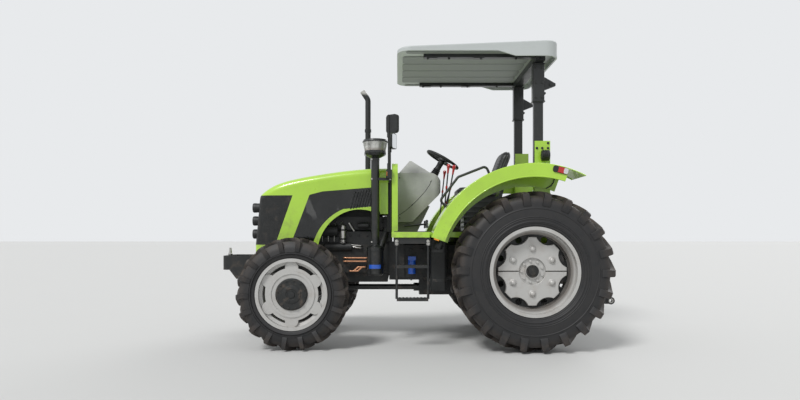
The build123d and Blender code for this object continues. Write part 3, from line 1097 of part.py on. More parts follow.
WALL_IN_R = REAR_TYRE_R + 60
for side, sign in SIDES:
    hub = Location((REAR_AXLE_X, REAR_AXLE_Z))
    with BuildPart() as fender:
        with BuildSketch(side_plane(sign * FENDER_IN_Y)):
            with Locations(hub):
                add(fender_sector(FENDER_R - FENDER_T, FENDER_R, FENDER_FRONT_ANGLE, FENDER_TAIL_ANGLE))
        extrude(amount=-sign * (FENDER_OUT_Y - FENDER_IN_Y))
        with BuildSketch(side_plane(sign * FENDER_IN_Y)):
            with Locations(hub):
                add(fender_sector(WALL_IN_R, FENDER_R - FENDER_T / 2, FENDER_FRONT_ANGLE, FENDER_WALL_ANGLE))
        extrude(amount=-sign * FENDER_T)
        with BuildSketch(side_plane(sign * FENDER_OUT_Y)):
            with Locations(hub):
                add(fender_sector(FENDER_LIP_R, FENDER_R - FENDER_T / 2, FENDER_FRONT_ANGLE,
                                  FENDER_LIP_ANGLE))
        extrude(amount=sign * FENDER_T)
        rim_edges = fender.edges().filter_by(GeomType.CIRCLE).filter_by(
            lambda edge: abs(edge.radius - FENDER_R) < FIT and abs(edge.center().Y - sign * FENDER_OUT_Y) < FIT)
        fillet(rim_edges, FENDER_T * 0.9)
    save(fender.part, f"fender_{side}")

# Grab rail: a bent tube over the front of the left fender
RAIL_TUBE_R = 12.0
RAIL_RISE = 80.0
RAIL_START, RAIL_END = 38.0, 68.0
GRAB_Y = FENDER_IN_Y + 95


def fender_point(angle, radius, y):
    """Point at an angle and a radius about the rear axle."""
    turn = math.radians(angle)
    return (REAR_AXLE_X + radius * math.cos(turn), y, REAR_AXLE_Z + radius * math.sin(turn))


with BuildPart() as grab_rails:
    foot = fender_point(RAIL_START, FENDER_R + FIT, GRAB_Y)
    with BuildLine():
        FilletPolyline(foot, fender_point(RAIL_START, FENDER_R + RAIL_RISE, GRAB_Y),
                       fender_point((RAIL_START + RAIL_END) / 2, FENDER_R + RAIL_RISE * 1.5, GRAB_Y),
                       fender_point(RAIL_END, FENDER_R + RAIL_RISE, GRAB_Y),
                       fender_point(RAIL_END, FENDER_R + FIT, GRAB_Y), radius=3 * RAIL_TUBE_R)
    away = Vector(math.cos(math.radians(RAIL_START)), 0, math.sin(math.radians(RAIL_START)))
    with BuildSketch(Plane(origin=foot, z_dir=away)):
        Circle(RAIL_TUBE_R)
    sweep()
save(grab_rails.part, "grab_rails")

# Signal lamps: tail lamps on the outer lips and amber markers under the fenders' front ends
TAIL_LAMP_ANGLE = 103.7
TAIL_LAMP_IN = 38.5          # below the fender's top
TAIL_LAMP_L = 130.0
TAIL_LAMP_H = 50.0
TAIL_LAMP_T = 12.0
MARKER_L = 46.0
MARKER_H = 26.0
with BuildPart() as signal_lamps:
    for side, sign in SIDES:
        with BuildSketch(side_plane(sign * (FENDER_OUT_Y + FIT))):
            lamp_x, lamp_y, lamp_z = fender_point(TAIL_LAMP_ANGLE, FENDER_R - TAIL_LAMP_IN, FENDER_OUT_Y)
            with Locations(Location((lamp_x, lamp_z), TAIL_LAMP_ANGLE - 90)):
                RectangleRounded(TAIL_LAMP_L, TAIL_LAMP_H, TAIL_LAMP_H / 3)
        extrude(amount=-sign * TAIL_LAMP_T)
        end_angle = math.radians(FENDER_FRONT_ANGLE)
        outward = Vector(math.cos(end_angle), 0, math.sin(end_angle))
        ahead = Vector(math.sin(end_angle), 0, -math.cos(end_angle))
        lip_middle = sign * (FENDER_OUT_Y - FENDER_T / 2)
        marker = Vector(fender_point(FENDER_FRONT_ANGLE, FENDER_R - MARKER_L, lip_middle)) + ahead * FIT
        with BuildSketch(Plane(origin=marker, x_dir=outward, z_dir=ahead)):
            Rectangle(MARKER_L, FENDER_T)
        extrude(amount=MARKER_H / 2)
save(signal_lamps.part, "signal_lamps")

# Roll bar: green foot brackets on the axle pads, two posts with sleeves and lugs, and a top bar
POST_WORLD_X = REAR_AXLE_X + POST_X
BRACKET_REAR_X = POST_WORLD_X - BRACKET_L * 0.73
BRACKET_FRONT_X = BRACKET_REAR_X + BRACKET_L
POST_FOOT_Z = 1620.0
with BuildPart() as rops_brackets:
    for side, sign in SIDES:
        with BuildSketch(side_plane(sign * (POST_Y + BRACKET_W / 2))):
            with BuildLine():
                Polyline((BRACKET_REAR_X, BRACKET_HEAD_Z), (BRACKET_FRONT_X, BRACKET_HEAD_Z),
                         (BRACKET_FRONT_X, PLATFORM_TOP_Z), (REAR_AXLE_X + TRUMPET_END_R,
                                                             PAD_TOP_Z + BRACKET_W),
                         (REAR_AXLE_X + TRUMPET_END_R, PAD_TOP_Z + FIT), (REAR_AXLE_X - TRUMPET_END_R,
                                                                          PAD_TOP_Z + FIT),
                         (BRACKET_REAR_X, PLATFORM_TOP_Z - BRACKET_W), close=True)
            make_face()
        extrude(amount=sign * BRACKET_W)
        block(POST_WORLD_X - POST_L / 2 - FIT, POST_WORLD_X + POST_L / 2 + FIT,
              sign * (POST_Y - POST_W / 2 - FIT),
              sign * (POST_Y + POST_W / 2 + FIT), POST_FOOT_Z, BRACKET_HEAD_Z, mode=Mode.SUBTRACT)
save(rops_brackets.part, "rops_brackets")

LUG_REACH = 165.0
with BuildPart() as rops_frame:
    for side, sign in SIDES:
        with BuildSketch(Plane.XY.offset(POST_FOOT_Z + FIT)):
            with Locations((POST_WORLD_X, sign * POST_Y)):
                RectangleRounded(POST_L, POST_W, POST_W / 5)
        extrude(amount=BAR_BOTTOM_Z + BAR_H / 2 - POST_FOOT_Z)
        with BuildSketch(Plane.XY.offset(SLEEVE_BOTTOM_Z)):
            with Locations((POST_WORLD_X, sign * POST_Y)):
                RectangleRounded(SLEEVE_L, POST_W + SLEEVE_L - POST_L, POST_W / 5)
        extrude(amount=SLEEVE_TOP_Z - SLEEVE_BOTTOM_Z)
        with BuildSketch(side_plane(sign * POST_Y)):
            with BuildLine():
                Polyline((POST_WORLD_X, SLEEVE_BOTTOM_Z + POST_L), (POST_WORLD_X, SLEEVE_TOP_Z - POST_L),
                         (POST_WORLD_X - LUG_REACH, SLEEVE_BOTTOM_Z + 1.95 * POST_L),
                         (POST_WORLD_X - LUG_REACH, SLEEVE_BOTTOM_Z + 1.7 * POST_L), close=True)
            make_face()
        extrude(amount=POST_W / 4, both=True)
    block(POST_WORLD_X - POST_L / 2, POST_WORLD_X + POST_L / 2, -RAIL_Y - RAIL_W / 2, RAIL_Y + RAIL_W / 2,
          BAR_BOTTOM_Z, BAR_BOTTOM_Z + BAR_H)
    for rail_y in (-RAIL_Y, RAIL_Y):
        block(POST_WORLD_X - POST_L / 2, REAR_AXLE_X + RAIL_FRONT, rail_y - RAIL_W / 2, rail_y + RAIL_W / 2,
              BAR_BOTTOM_Z + BAR_H - RAIL_H, BAR_BOTTOM_Z + BAR_H)
save(rops_frame.part, "rops_frame")

# Canopy: moulded roof with a domed top, round corners, a stepped skirt and a ribbed underside
CANOPY_FRONT_X = REAR_AXLE_X + CANOPY_FRONT
CANOPY_REAR_X = REAR_AXLE_X + CANOPY_REAR
CANOPY_SEAT_Z = BAR_BOTTOM_Z + BAR_H + FIT
SKIRT_Z = CANOPY_FRONT_Z - CANOPY_SKIRT
with BuildPart() as canopy:
    with BuildSketch(Plane.XZ):
        with BuildLine():
            Polyline((CANOPY_FRONT_X, SKIRT_Z), (CANOPY_FRONT_X, CANOPY_FRONT_Z),
                     (CANOPY_REAR_X, CANOPY_REAR_Z),
                     (CANOPY_REAR_X, SKIRT_Z - CANOPY_STEP), (REAR_AXLE_X + CANOPY_STEP_REAR,
                                                              SKIRT_Z - CANOPY_STEP),
                     (REAR_AXLE_X + CANOPY_STEP_FRONT, SKIRT_Z), close=True)
        make_face()
    extrude(amount=CANOPY_HALF_W, both=True)
    fillet(canopy.edges().filter_by(Axis.Z), CANOPY_CORNER_R)
    fillet(canopy.faces().sort_by(Axis.Z)[-1].edges(), CANOPY_WALL)
    with BuildSketch(Plane.XY.offset(SKIRT_Z - CANOPY_STEP)):
        with Locations(((CANOPY_FRONT_X + CANOPY_REAR_X) / 2, 0)):
            RectangleRounded(CANOPY_FRONT - CANOPY_REAR - 2 * CANOPY_WALL, 2 * (CANOPY_HALF_W - CANOPY_WALL),
                             CANOPY_CORNER_R - CANOPY_WALL)
    extrude(amount=CANOPY_SEAT_Z - SKIRT_Z + CANOPY_STEP, mode=Mode.SUBTRACT)
save(canopy.part, "canopy")

# Mirrors on posts clamped to the cowl
MIRROR_WORLD_X = FRONT_AXLE_X + MIRROR_X
CLAMP_Z = 1590.0
CLAMP_H = 80.0
CLAMP_L = 44.0
MIRROR_W = 125.0
MIRROR_H = 175.0
MIRROR_T = 28.0
MIRROR_TURNS = {"left": 55.0, "right": 25.0}      # degrees from square, towards the driver
with BuildPart() as mirrors:
    for side, sign in SIDES:
        y = sign * MIRROR_Y
        block(COWL_FRONT_X + FIT, COWL_FRONT_X + CLAMP_L, sign * (COWL_HALF_W - CLAMP_L),
              y + sign * CLAMP_L / 2,
              CLAMP_Z, CLAMP_Z + CLAMP_H)
        rod((MIRROR_WORLD_X + CLAMP_L / 2, y, CLAMP_Z + CLAMP_H / 2),
            (MIRROR_WORLD_X + CLAMP_L / 2, y, MIRROR_TOP_Z),
            MIRROR_POST_R)
        turn = math.radians(MIRROR_TURNS[side])
        glass_side = (-math.cos(turn), -sign * math.sin(turn), 0)
        with BuildSketch(Plane(origin=(MIRROR_WORLD_X + CLAMP_L / 2, y, MIRROR_TOP_Z - MIRROR_H / 2),
                               x_dir=(-sign * math.sin(turn), math.cos(turn), 0), z_dir=glass_side)):
            with Locations((sign * MIRROR_W / 4, 0)):
                RectangleRounded(MIRROR_W, MIRROR_H, MIRROR_T)
        extrude(amount=MIRROR_T + MIRROR_POST_R)
save(mirrors.part, "mirrors")

# Steps: a ladder of two round bars with two treads under each side of the platform
STEP_FRONT_X = WIDE_REAR_X + STEP_L
with BuildPart() as steps:
    for side, sign in SIDES:
        for bar_x in (WIDE_REAR_X + STEP_BAR_R, STEP_FRONT_X):
            rod((bar_x, sign * STEP_Y, STEP_LEVELS_Z[-1]), (bar_x, sign * STEP_Y, PLATFORM_BOTTOM_Z - FIT),
                STEP_BAR_R)
        for level in STEP_LEVELS_Z:
            block(WIDE_REAR_X + STEP_BAR_R, STEP_FRONT_X, sign * STEP_Y - STEP_TREAD_W / 2,
                  sign * STEP_Y + STEP_TREAD_W / 2,
                  level - STEP_TREAD_T, level + STEP_TREAD_T / 2)
save(steps.part, "steps")

# Fuel tanks under the platform, ahead of the rear wheels
with BuildPart() as fuel_tanks:
    for side, sign in SIDES:
        block(REAR_AXLE_X + TANK_REAR, REAR_AXLE_X + TANK_FRONT, sign * TANK_IN_Y, sign * TANK_OUT_Y,
              TANK_BOTTOM_Z, TANK_TOP_Z)
    fillet(fuel_tanks.edges().filter_by(Axis.Z), SHAFT_R)
    with Locations(*[(REAR_AXLE_X + (TANK_REAR + TANK_FRONT) / 2, sign * (TANK_IN_Y + TANK_OUT_Y) / 2,
                      TANK_TOP_Z)
                     for sign in (-1, 1)]):
        Cylinder(STACK_R, PLATFORM_BOTTOM_Z - FIT - TANK_TOP_Z, align=(Align.CENTER, Align.CENTER, Align.MIN))
save(fuel_tanks.part, "fuel_tanks")

# Hood: one closed form gives the shell, the dark side panels and the grille
NOSE_FRONT = 442.0           # grille's foot, ahead of the front axle
NOSE_LEAN = 47.0             # how much further back the grille's head is
NOSE_TOP_Z = 1438.0
LIP_TOP_Z = 955.0
LIP_BOTTOM_Z = 866.0
SKIRT_EDGE_Z = 945.0
TAPER_START = 90.0
HOOD_ROUND = 66.0
NOSE_ROUND = 50.0


def from_front(x, z):
    """Point of a side sketch, measured from the front axle."""
    return (FRONT_AXLE_X + x, z)


def hood_form(inset, overrun):
    """Solid form of the hood, drawn in by a wall; overrun lets it pass its open underside and rear."""
    nose = NOSE_FRONT - inset
    head = NOSE_FRONT - NOSE_LEAN - inset
    crown = [from_front(HOOD_REAR - overrun, HOOD_TOP_Z - inset), from_front(-655, HOOD_TOP_Z - 6 - inset),
             from_front(-213, HOOD_TOP_Z - 58 - inset), from_front(45, HOOD_TOP_Z - 105 - inset),
             from_front(252, HOOD_TOP_Z - 169 - inset), from_front(head, NOSE_TOP_Z - inset)]
    with BuildPart() as form:
        with BuildSketch(Plane.XZ):
            with BuildLine():
                Spline(*crown)
                Polyline(crown[-1], from_front(nose, LIP_TOP_Z), from_front(nose, LIP_BOTTOM_Z - overrun),
                         from_front(265, LIP_BOTTOM_Z - overrun), from_front(89, SKIRT_EDGE_Z - overrun),
                         from_front(-185, SKIRT_EDGE_Z - overrun))
                Spline(from_front(-185, SKIRT_EDGE_Z - overrun), from_front(-280, 1150 - overrun),
                       from_front(-400, 1250 - overrun), from_front(-700, 1283 - overrun))
                Polyline(from_front(-700, 1283 - overrun), from_front(-784, 1283 - overrun),
                         from_front(-790, 1255 - overrun), from_front(HOOD_REAR - overrun,
                                                                      1255 - overrun), crown[0])
            make_face()
        extrude(amount=HOOD_HALF_W - inset, both=True)
        with BuildSketch(Plane.XY):
            with BuildLine():
                Line((FRONT_AXLE_X + HOOD_REAR - overrun, HOOD_HALF_W - inset),
                     (FRONT_AXLE_X + TAPER_START, HOOD_HALF_W - inset))
                TangentArc((FRONT_AXLE_X + TAPER_START, HOOD_HALF_W - inset),
                           (FRONT_AXLE_X + nose, HOOD_NOSE_HALF_W - inset),
                           tangent=(1, 0))
                Line((FRONT_AXLE_X + nose, HOOD_NOSE_HALF_W - inset), (FRONT_AXLE_X + nose, 0))
                mirror(about=Plane.XZ)
                Line((FRONT_AXLE_X + HOOD_REAR - overrun, HOOD_HALF_W - inset),
                     (FRONT_AXLE_X + HOOD_REAR - overrun, inset - HOOD_HALF_W))
            make_face()
        extrude(amount=HOOD_TOP_Z + HOOD_ROUND, mode=Mode.INTERSECT)
        shoulders = form.edges().filter_by(GeomType.BSPLINE).filter_by(
            lambda edge: abs(edge.center().Y) > HOOD_NOSE_HALF_W * 0.9 and edge.center().Z > NOSE_TOP_Z)
        fillet(shoulders, HOOD_ROUND - inset)
        corners = form.edges().filter_by(
            lambda edge: abs(edge.center().Y) > HOOD_NOSE_HALF_W * 0.7 and abs(edge.tangent_at(0.5).Z) > 0.9
            and edge.center().X > FRONT_AXLE_X + head - HOOD_T)
        fillet(corners, NOSE_ROUND - inset)
    return form.part


def nose_region(gap):
    """Side outline of the grille's opening in the hood, drawn in by a gap."""
    with BuildSketch() as region:
        with BuildLine():
            Polyline(from_front(65, NOSE_TOP_Z), from_front(235, LIP_TOP_Z),
                     from_front(2 * NOSE_FRONT, LIP_TOP_Z),
                     from_front(2 * NOSE_FRONT, NOSE_TOP_Z), close=True)
        make_face()
        offset(amount=-gap, kind=Kind.INTERSECTION) if gap else None
    return region.sketch


def window_region(gap):
    """Side outline of the engine bay's window in the hood, drawn in by a gap."""
    with BuildSketch() as region:
        with BuildLine():
            Polyline(from_front(-100, 1443), from_front(-227, 1476), from_front(-698, 1514),
                     from_front(-762, 1517),
                     from_front(-762, 1328), from_front(-700, 1328))
            Line(from_front(-700, 1328), from_front(-430, 1304))
            ThreePointArc(from_front(-430, 1304), from_front(-262, 1190), from_front(-142, 990))
            Polyline(from_front(-142, 990), from_front(72, 990), from_front(-100, 1443))
        make_face()
        offset(amount=-gap, kind=Kind.INTERSECTION) if gap else None
    return region.sketch


hood_outside = hood_form(0, 0)
hood_inside = hood_form(HOOD_T, 4 * HOOD_T)

with BuildPart() as hood_shell:
    add(hood_outside)
    add(hood_inside, mode=Mode.SUBTRACT)
    with BuildSketch(Plane.XZ):
        add(nose_region(0))
        add(window_region(0))
    extrude(amount=2 * HOOD_HALF_W, both=True, mode=Mode.SUBTRACT)
    for ear_y in (-EAR_Y, EAR_Y):
        lug_y = ear_y + math.copysign(EAR_T + FIT, ear_y)
        block(HINGE_WORLD_X, HINGE_WORLD_X + 4 * EAR_T, lug_y - EAR_T / 2, lug_y + EAR_T / 2,
              HINGE_Z - 1.5 * HINGE_R, HOOD_TOP_Z - HOOD_T / 2 - 2)
        rod((HINGE_WORLD_X, lug_y - EAR_T / 2, HINGE_Z), (HINGE_WORLD_X, lug_y + EAR_T / 2, HINGE_Z),
            1.5 * HINGE_R)
        rod((HINGE_WORLD_X, lug_y - EAR_T, HINGE_Z), (HINGE_WORLD_X, lug_y + EAR_T, HINGE_Z), HINGE_R + FIT,
            mode=Mode.SUBTRACT)
save(hood_shell.part, "hood_shell")

PANEL_T = 6.0
with BuildPart() as hood_panels:
    for side, sign in SIDES:
        with BuildSketch(side_plane(sign * HOOD_HALF_W)):
            add(window_region(FIT))
        extrude(amount=sign * PANEL_T)
save(hood_panels.part, "hood_panels")

GRILLE_T = 12.0
SLOT_H = 24.0
SLOT_PITCH = 46.0
SLOT_W = 260.0
LAMP_Y = 205.0
with BuildPart() as grille:
    add(hood_outside)
    add(hood_form(GRILLE_T, 4 * HOOD_T), mode=Mode.SUBTRACT)
    with BuildSketch(Plane.XZ):
        add(nose_region(FIT))
    extrude(amount=2 * HOOD_HALF_W, both=True, mode=Mode.INTERSECT)
    with BuildSketch(cross_plane(FRONT_AXLE_X + NOSE_FRONT - 3 * NOSE_LEAN)):
        with Locations((0, (NOSE_TOP_Z + LIP_TOP_Z) / 2)):
            with GridLocations(0, SLOT_PITCH, 1, 9):
                SlotOverall(SLOT_W, SLOT_H)
        with Locations(*[(y, z) for y in (-LAMP_Y, LAMP_Y) for z in LAMP_LEVELS_Z]):
            Circle(LAMP_R + FIT)
    extrude(amount=6 * NOSE_LEAN, mode=Mode.SUBTRACT)
save(grille.part, "grille")

with BuildPart() as headlamps:
    with BuildSketch(cross_plane(FRONT_AXLE_X + LAMP_REACH)):
        with Locations(*[(y, z) for y in (-LAMP_Y, LAMP_Y) for z in LAMP_LEVELS_Z]):
            Circle(LAMP_R)
    extrude(amount=-2.4 * LAMP_R)
    fillet(headlamps.edges().group_by(Axis.X)[-1], LAMP_R / 2)
save(headlamps.part, "headlamps")

# Three-point linkage: lift arms, lower links, lift rods between them, and the stowed top link
LINK_END_X = REAR_AXLE_X - REAR_OVERHANG + LINK_EYE_R
LINK_SPREAD = math.degrees(math.atan2(LINK_END_Y - LINK_PIVOT_Y, LINK_X - LINK_END_X))
ROD_PIN_R = 12.0
ROD_EYE_T = 26.0
ARM_END_X = LIFT_X - LIFT_ARM_L
HITCH_ROD_X = LINK_X - LIFT_ARM_L
HITCH_ROD_Y = LINK_PIVOT_Y + (LINK_END_Y - LINK_PIVOT_Y) * LIFT_ARM_L / (LINK_X - LINK_END_X)
ROD_TOP_Y = LIFT_ARM_Y + LIFT_ARM_T / 2 + FIT + ROD_EYE_T / 2
ROD_FOOT_Y = HITCH_ROD_Y - LINK_T - ROD_EYE_T / 2

with BuildPart() as lift_arms:
    for side, sign in SIDES:
        with BuildSketch(side_plane(sign * LIFT_ARM_Y)):
            with Locations((LIFT_X - LIFT_ARM_L / 2, LIFT_PIVOT_Z)):
                SlotCenterToCenter(LIFT_ARM_L, LINK_H)
            with Locations((LIFT_X, LIFT_PIVOT_Z)):
                Circle(1.4 * ROCKSHAFT_R)
                Circle(ROCKSHAFT_R - 14 + FIT, mode=Mode.SUBTRACT)
        extrude(amount=LIFT_ARM_T / 2, both=True)
        rod((ARM_END_X, sign * LIFT_ARM_Y, LIFT_PIVOT_Z),
            (ARM_END_X, sign * (ROD_TOP_Y + ROD_EYE_T), LIFT_PIVOT_Z), ROD_PIN_R)
save(lift_arms.part, "lift_arms")

with BuildPart() as lower_links:
    for side, sign in SIDES:
        middle = ((LINK_X + LINK_END_X) / 2, sign * (LINK_PIVOT_Y + LINK_END_Y) / 2)
        length = math.hypot(LINK_X - LINK_END_X, LINK_END_Y - LINK_PIVOT_Y)
        with BuildSketch(Plane.XY.offset(LINK_PIVOT_Z)):
            with Locations(Location(middle, -sign * LINK_SPREAD)):
                Rectangle(length, LINK_T)
        extrude(amount=LINK_H / 2, both=True)
        for eye_x, eye_y in ((LINK_X, LINK_PIVOT_Y), (LINK_END_X, LINK_END_Y)):
            rod((eye_x, sign * (eye_y - LINK_T * 0.7), LINK_PIVOT_Z),
                (eye_x, sign * (eye_y + LINK_T * 0.7), LINK_PIVOT_Z), LINK_EYE_R)
        for eye_x, eye_y in ((LINK_X, LINK_PIVOT_Y), (LINK_END_X, LINK_END_Y)):
            rod((eye_x, sign * (eye_y - LINK_EYE_R), LINK_PIVOT_Z),
                (eye_x, sign * (eye_y + LINK_EYE_R), LINK_PIVOT_Z), LINK_BORE_R,
                mode=Mode.SUBTRACT)
        rod((HITCH_ROD_X, sign * HITCH_ROD_Y, LINK_PIVOT_Z), (HITCH_ROD_X, sign * (ROD_FOOT_Y - ROD_EYE_T),
                                                              LINK_PIVOT_Z), ROD_PIN_R)
save(lower_links.part, "lower_links")

with BuildPart() as lift_rods:
    for side, sign in SIDES:
        rod((ARM_END_X, sign * ROD_TOP_Y, LIFT_PIVOT_Z), (HITCH_ROD_X, sign * ROD_FOOT_Y, LINK_PIVOT_Z),
            LIFT_ROD_R)
        for eye_x, eye_y, eye_z in ((ARM_END_X, ROD_TOP_Y, LIFT_PIVOT_Z),
                                    (HITCH_ROD_X, ROD_FOOT_Y, LINK_PIVOT_Z)):
            rod((eye_x, sign * (eye_y - ROD_EYE_T / 2), eye_z),
                (eye_x, sign * (eye_y + ROD_EYE_T / 2), eye_z), 2 * ROD_PIN_R)
        for eye_x, eye_y, eye_z in ((ARM_END_X, ROD_TOP_Y, LIFT_PIVOT_Z),
                                    (HITCH_ROD_X, ROD_FOOT_Y, LINK_PIVOT_Z)):
            rod((eye_x, sign * (eye_y - 2 * ROD_EYE_T), eye_z),
                (eye_x, sign * (eye_y + 2 * ROD_EYE_T), eye_z), ROD_PIN_R + FIT,
                mode=Mode.SUBTRACT)
save(lift_rods.part, "lift_rods")

TOP_PIVOT = Vector(REAR_AXLE_X + TOP_LINK_X, 0, TOP_LINK_Z)
TOP_DIR = Vector(-math.sin(math.radians(TOP_LINK_LEAN)), 0, math.cos(math.radians(TOP_LINK_LEAN)))
TOP_END = TOP_PIVOT + TOP_DIR * TOP_LINK_L
with BuildPart() as top_link:
    rod(tuple(TOP_PIVOT), tuple(TOP_END), TOP_LINK_R - 5)
    rod(tuple(TOP_PIVOT + TOP_DIR * TOP_LINK_L * 0.25), tuple(TOP_PIVOT + TOP_DIR * TOP_LINK_L * 0.75),
        TOP_LINK_R)
    for eye in (TOP_PIVOT, TOP_END):
        rod((eye.X, -LINK_T / 2, eye.Z), (eye.X, LINK_T / 2, eye.Z), LINK_EYE_R - 6)
    for eye in (TOP_PIVOT, TOP_END):
        rod((eye.X, -LINK_T, eye.Z), (eye.X, LINK_T, eye.Z), LINK_BORE_R, mode=Mode.SUBTRACT)
save(top_link.part, "top_link")

# Work lamps on the outer faces of the roll bar's brackets, facing back
WORK_LAMP_R = 50.0
WORK_LAMP_Z = REAR_AXLE_Z + FENDER_R + 110
WORK_LAMP_Y = POST_Y + BRACKET_W / 2 + WORK_LAMP_R + FIT
WORK_LAMP_X = BRACKET_FRONT_X - WORK_LAMP_R
with BuildPart() as work_lamps:
    for side, sign in SIDES:
        y = sign * WORK_LAMP_Y
        rod((WORK_LAMP_X, y, WORK_LAMP_Z), (WORK_LAMP_X - 1.4 * WORK_LAMP_R, y, WORK_LAMP_Z), WORK_LAMP_R)
    fillet(work_lamps.edges().filter_by(GeomType.CIRCLE).group_by(Axis.X)[-1], WORK_LAMP_R / 2)
    for side, sign in SIDES:
        block(WORK_LAMP_X - WORK_LAMP_R, WORK_LAMP_X - WORK_LAMP_R / 2, sign * (POST_Y + BRACKET_W / 2 + FIT),
              sign * WORK_LAMP_Y, WORK_LAMP_Z - WORK_LAMP_R / 2, WORK_LAMP_Z + WORK_LAMP_R / 2)
save(work_lamps.part, "work_lamps")
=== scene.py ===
"""Looks of a farm tractor with four driven wheels, a roll bar and a moulded canopy."""
import math

import bmesh
import bpy
from bpy.props import FloatProperty, FloatVectorProperty, IntProperty, PointerProperty
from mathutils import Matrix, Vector


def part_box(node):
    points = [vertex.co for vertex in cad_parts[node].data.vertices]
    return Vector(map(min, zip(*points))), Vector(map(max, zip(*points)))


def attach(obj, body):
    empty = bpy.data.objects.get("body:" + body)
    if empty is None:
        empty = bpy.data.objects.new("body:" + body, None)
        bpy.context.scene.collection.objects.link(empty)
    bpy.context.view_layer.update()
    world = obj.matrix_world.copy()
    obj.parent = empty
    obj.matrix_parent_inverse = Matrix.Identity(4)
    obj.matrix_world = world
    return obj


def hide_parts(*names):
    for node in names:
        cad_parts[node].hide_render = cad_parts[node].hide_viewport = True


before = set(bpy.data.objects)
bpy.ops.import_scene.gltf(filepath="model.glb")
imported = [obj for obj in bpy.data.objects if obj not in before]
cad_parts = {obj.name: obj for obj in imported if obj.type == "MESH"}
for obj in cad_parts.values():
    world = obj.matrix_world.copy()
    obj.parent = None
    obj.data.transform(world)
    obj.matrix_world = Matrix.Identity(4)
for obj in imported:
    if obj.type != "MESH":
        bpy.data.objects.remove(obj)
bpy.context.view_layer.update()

bl_info = {
    "name": "Farm tractor looks",
    "version": (1, 0, 0),
    "blender": (4, 5, 0),
    "location": "View3D > Sidebar > Tractor",
    "description": "Dresses the tractor's solids with finishes, tyres, fasteners and trim",
    "category": "Object",
}

SIDES = (("left", 1), ("right", -1))
SIGNS = (1, -1)
AHEAD = Vector((1.0, 0.0, 0.0))
LEFT = Vector((0.0, 1.0, 0.0))
UP = Vector((0.0, 0.0, 1.0))
# Where things are in the CAD, in metres
REAR_AXLE = Vector((-1.05, 0.0, 0.725))
FRONT_AXLE = Vector((1.125, 0.0, 0.515))
REAR_TYRE = {"axle": REAR_AXLE, "wheel_y": 0.72, "tip_r": 0.725, "half_w": 0.1925,
             "seat_r": 0.381, "rim_half": 0.159}
FRONT_TYRE = {"axle": FRONT_AXLE, "wheel_y": 0.675, "tip_r": 0.515, "half_w": 0.1225,
              "seat_r": 0.305, "rim_half": 0.095}
STACK = Vector((0.380, 0.450, 0.0))
WHEEL_HUB = Vector((-0.300, 0.0, 1.826))
COLUMN = Vector((-0.5, 0.0, 0.8660)).normalized()
ENGINE_FLANK = 0.165
DECK_Z = 1.0805
REAR_CASE_X = -1.300


def linear(red, green, blue):
    """Linear colour of an 8-bit screen colour."""
    values = []
    for part in (red, green, blue):
        share = part / 255.0
        values.append(share / 12.92 if share <= 0.04045 else ((share + 0.055) / 1.055) ** 2.4)
    return tuple(values)


def colour_setting(label, note, red, green, blue):
    """A colour that the user can change."""
    return FloatVectorProperty(name=label, description=note, subtype="COLOR", size=3, min=0.0, max=1.0,
                               default=linear(red, green, blue))


def length_setting(label, note, metres):
    """A length that the user can change."""
    return FloatProperty(name=label, description=note, default=metres, min=0.0, unit="LENGTH", precision=4)


def count_setting(label, note, number, least=8):
    """A whole number that the user can change."""
    return IntProperty(name=label, description=note, default=number, min=least)


def number_setting(label, note, value, least=0.0):
    """A plain number that the user can change."""
    return FloatProperty(name=label, description=note, default=value, min=least)


class TractorColours(bpy.types.PropertyGroup):
    """Colours of the finishes"""
    lime: colour_setting("Lime paint", "Hood, fenders, cowl and platform", 170, 211, 66)
    silver: colour_setting("Wheel paint", "Rims and wheel weights", 186, 185, 182)
    rubber: colour_setting("Rubber", "Tyres", 27, 28, 30)
    # Darkened, this colour is also painted shade inside the rear rims' barrels.
    dust: colour_setting("Field dust", "Dried soil on tyres and low parts", 118, 102, 88)
    black: colour_setting("Black paint", "Castings, tubes and brackets", 25, 27, 27)
    canopy: colour_setting("Canopy", "Moulded roof", 186, 191, 189)
    console: colour_setting("Console", "Moulded shroud under the steering wheel", 170, 171, 167)
    # Painted shade for the lower part of the console.
    straw: colour_setting("Straw stain", "Dusty lower part of the console", 112, 114, 82)
    blue: colour_setting("Filter blue", "Canisters of the filters", 30, 88, 190)
    copper: colour_setting("Pipe", "Plated hydraulic pipes", 206, 152, 118)
    # Also used for the painted highlight at the exhaust's tip.
    steel: colour_setting("Bright steel", "Rods, bolts and the exhaust tip", 190, 188, 184)
    red: colour_setting("Red lens", "Tail lamps and lever knobs", 190, 22, 20)
    amber: colour_setting("Amber lens", "Side markers", 238, 150, 24)
    vinyl: colour_setting("Seat vinyl", "Seat cushion and backrest", 38, 39, 40)


class TractorSizes(bpy.types.PropertyGroup):
    """Sizes of the dressed pieces"""
    rear_lug: length_setting("Rear lug height", "Height of the rear tyre's lugs", 0.040)
    front_lug: length_setting("Front lug height", "Height of the front tyre's lugs", 0.032)
    rear_lugs: count_setting("Rear lugs", "Lugs on each half of a rear tyre", 22)
    front_lugs: count_setting("Front lugs", "Lugs on each half of a front tyre", 18)
    tyre_steps: count_setting("Tyre steps", "Facets round a tyre", 110, 24)
    tread_bevel: length_setting("Lug rounding", "Rounding along the lugs' edges", 0.004)
    hub_bolt: length_setting("Hub bolt", "Across the flats of the hubs' bolts", 0.022)
    frame_bolt: length_setting("Frame bolt", "Across the flats of the frame's bolts", 0.024)
    trim_bolt: length_setting("Trim screw", "Across the flats of small screws", 0.013)
    pad_voxel: length_setting("Pad detail", "Size of the seat pads' facets", 0.006)
    pad_swell: length_setting("Pad swell", "How far the seat's cover may fill out", 0.014)


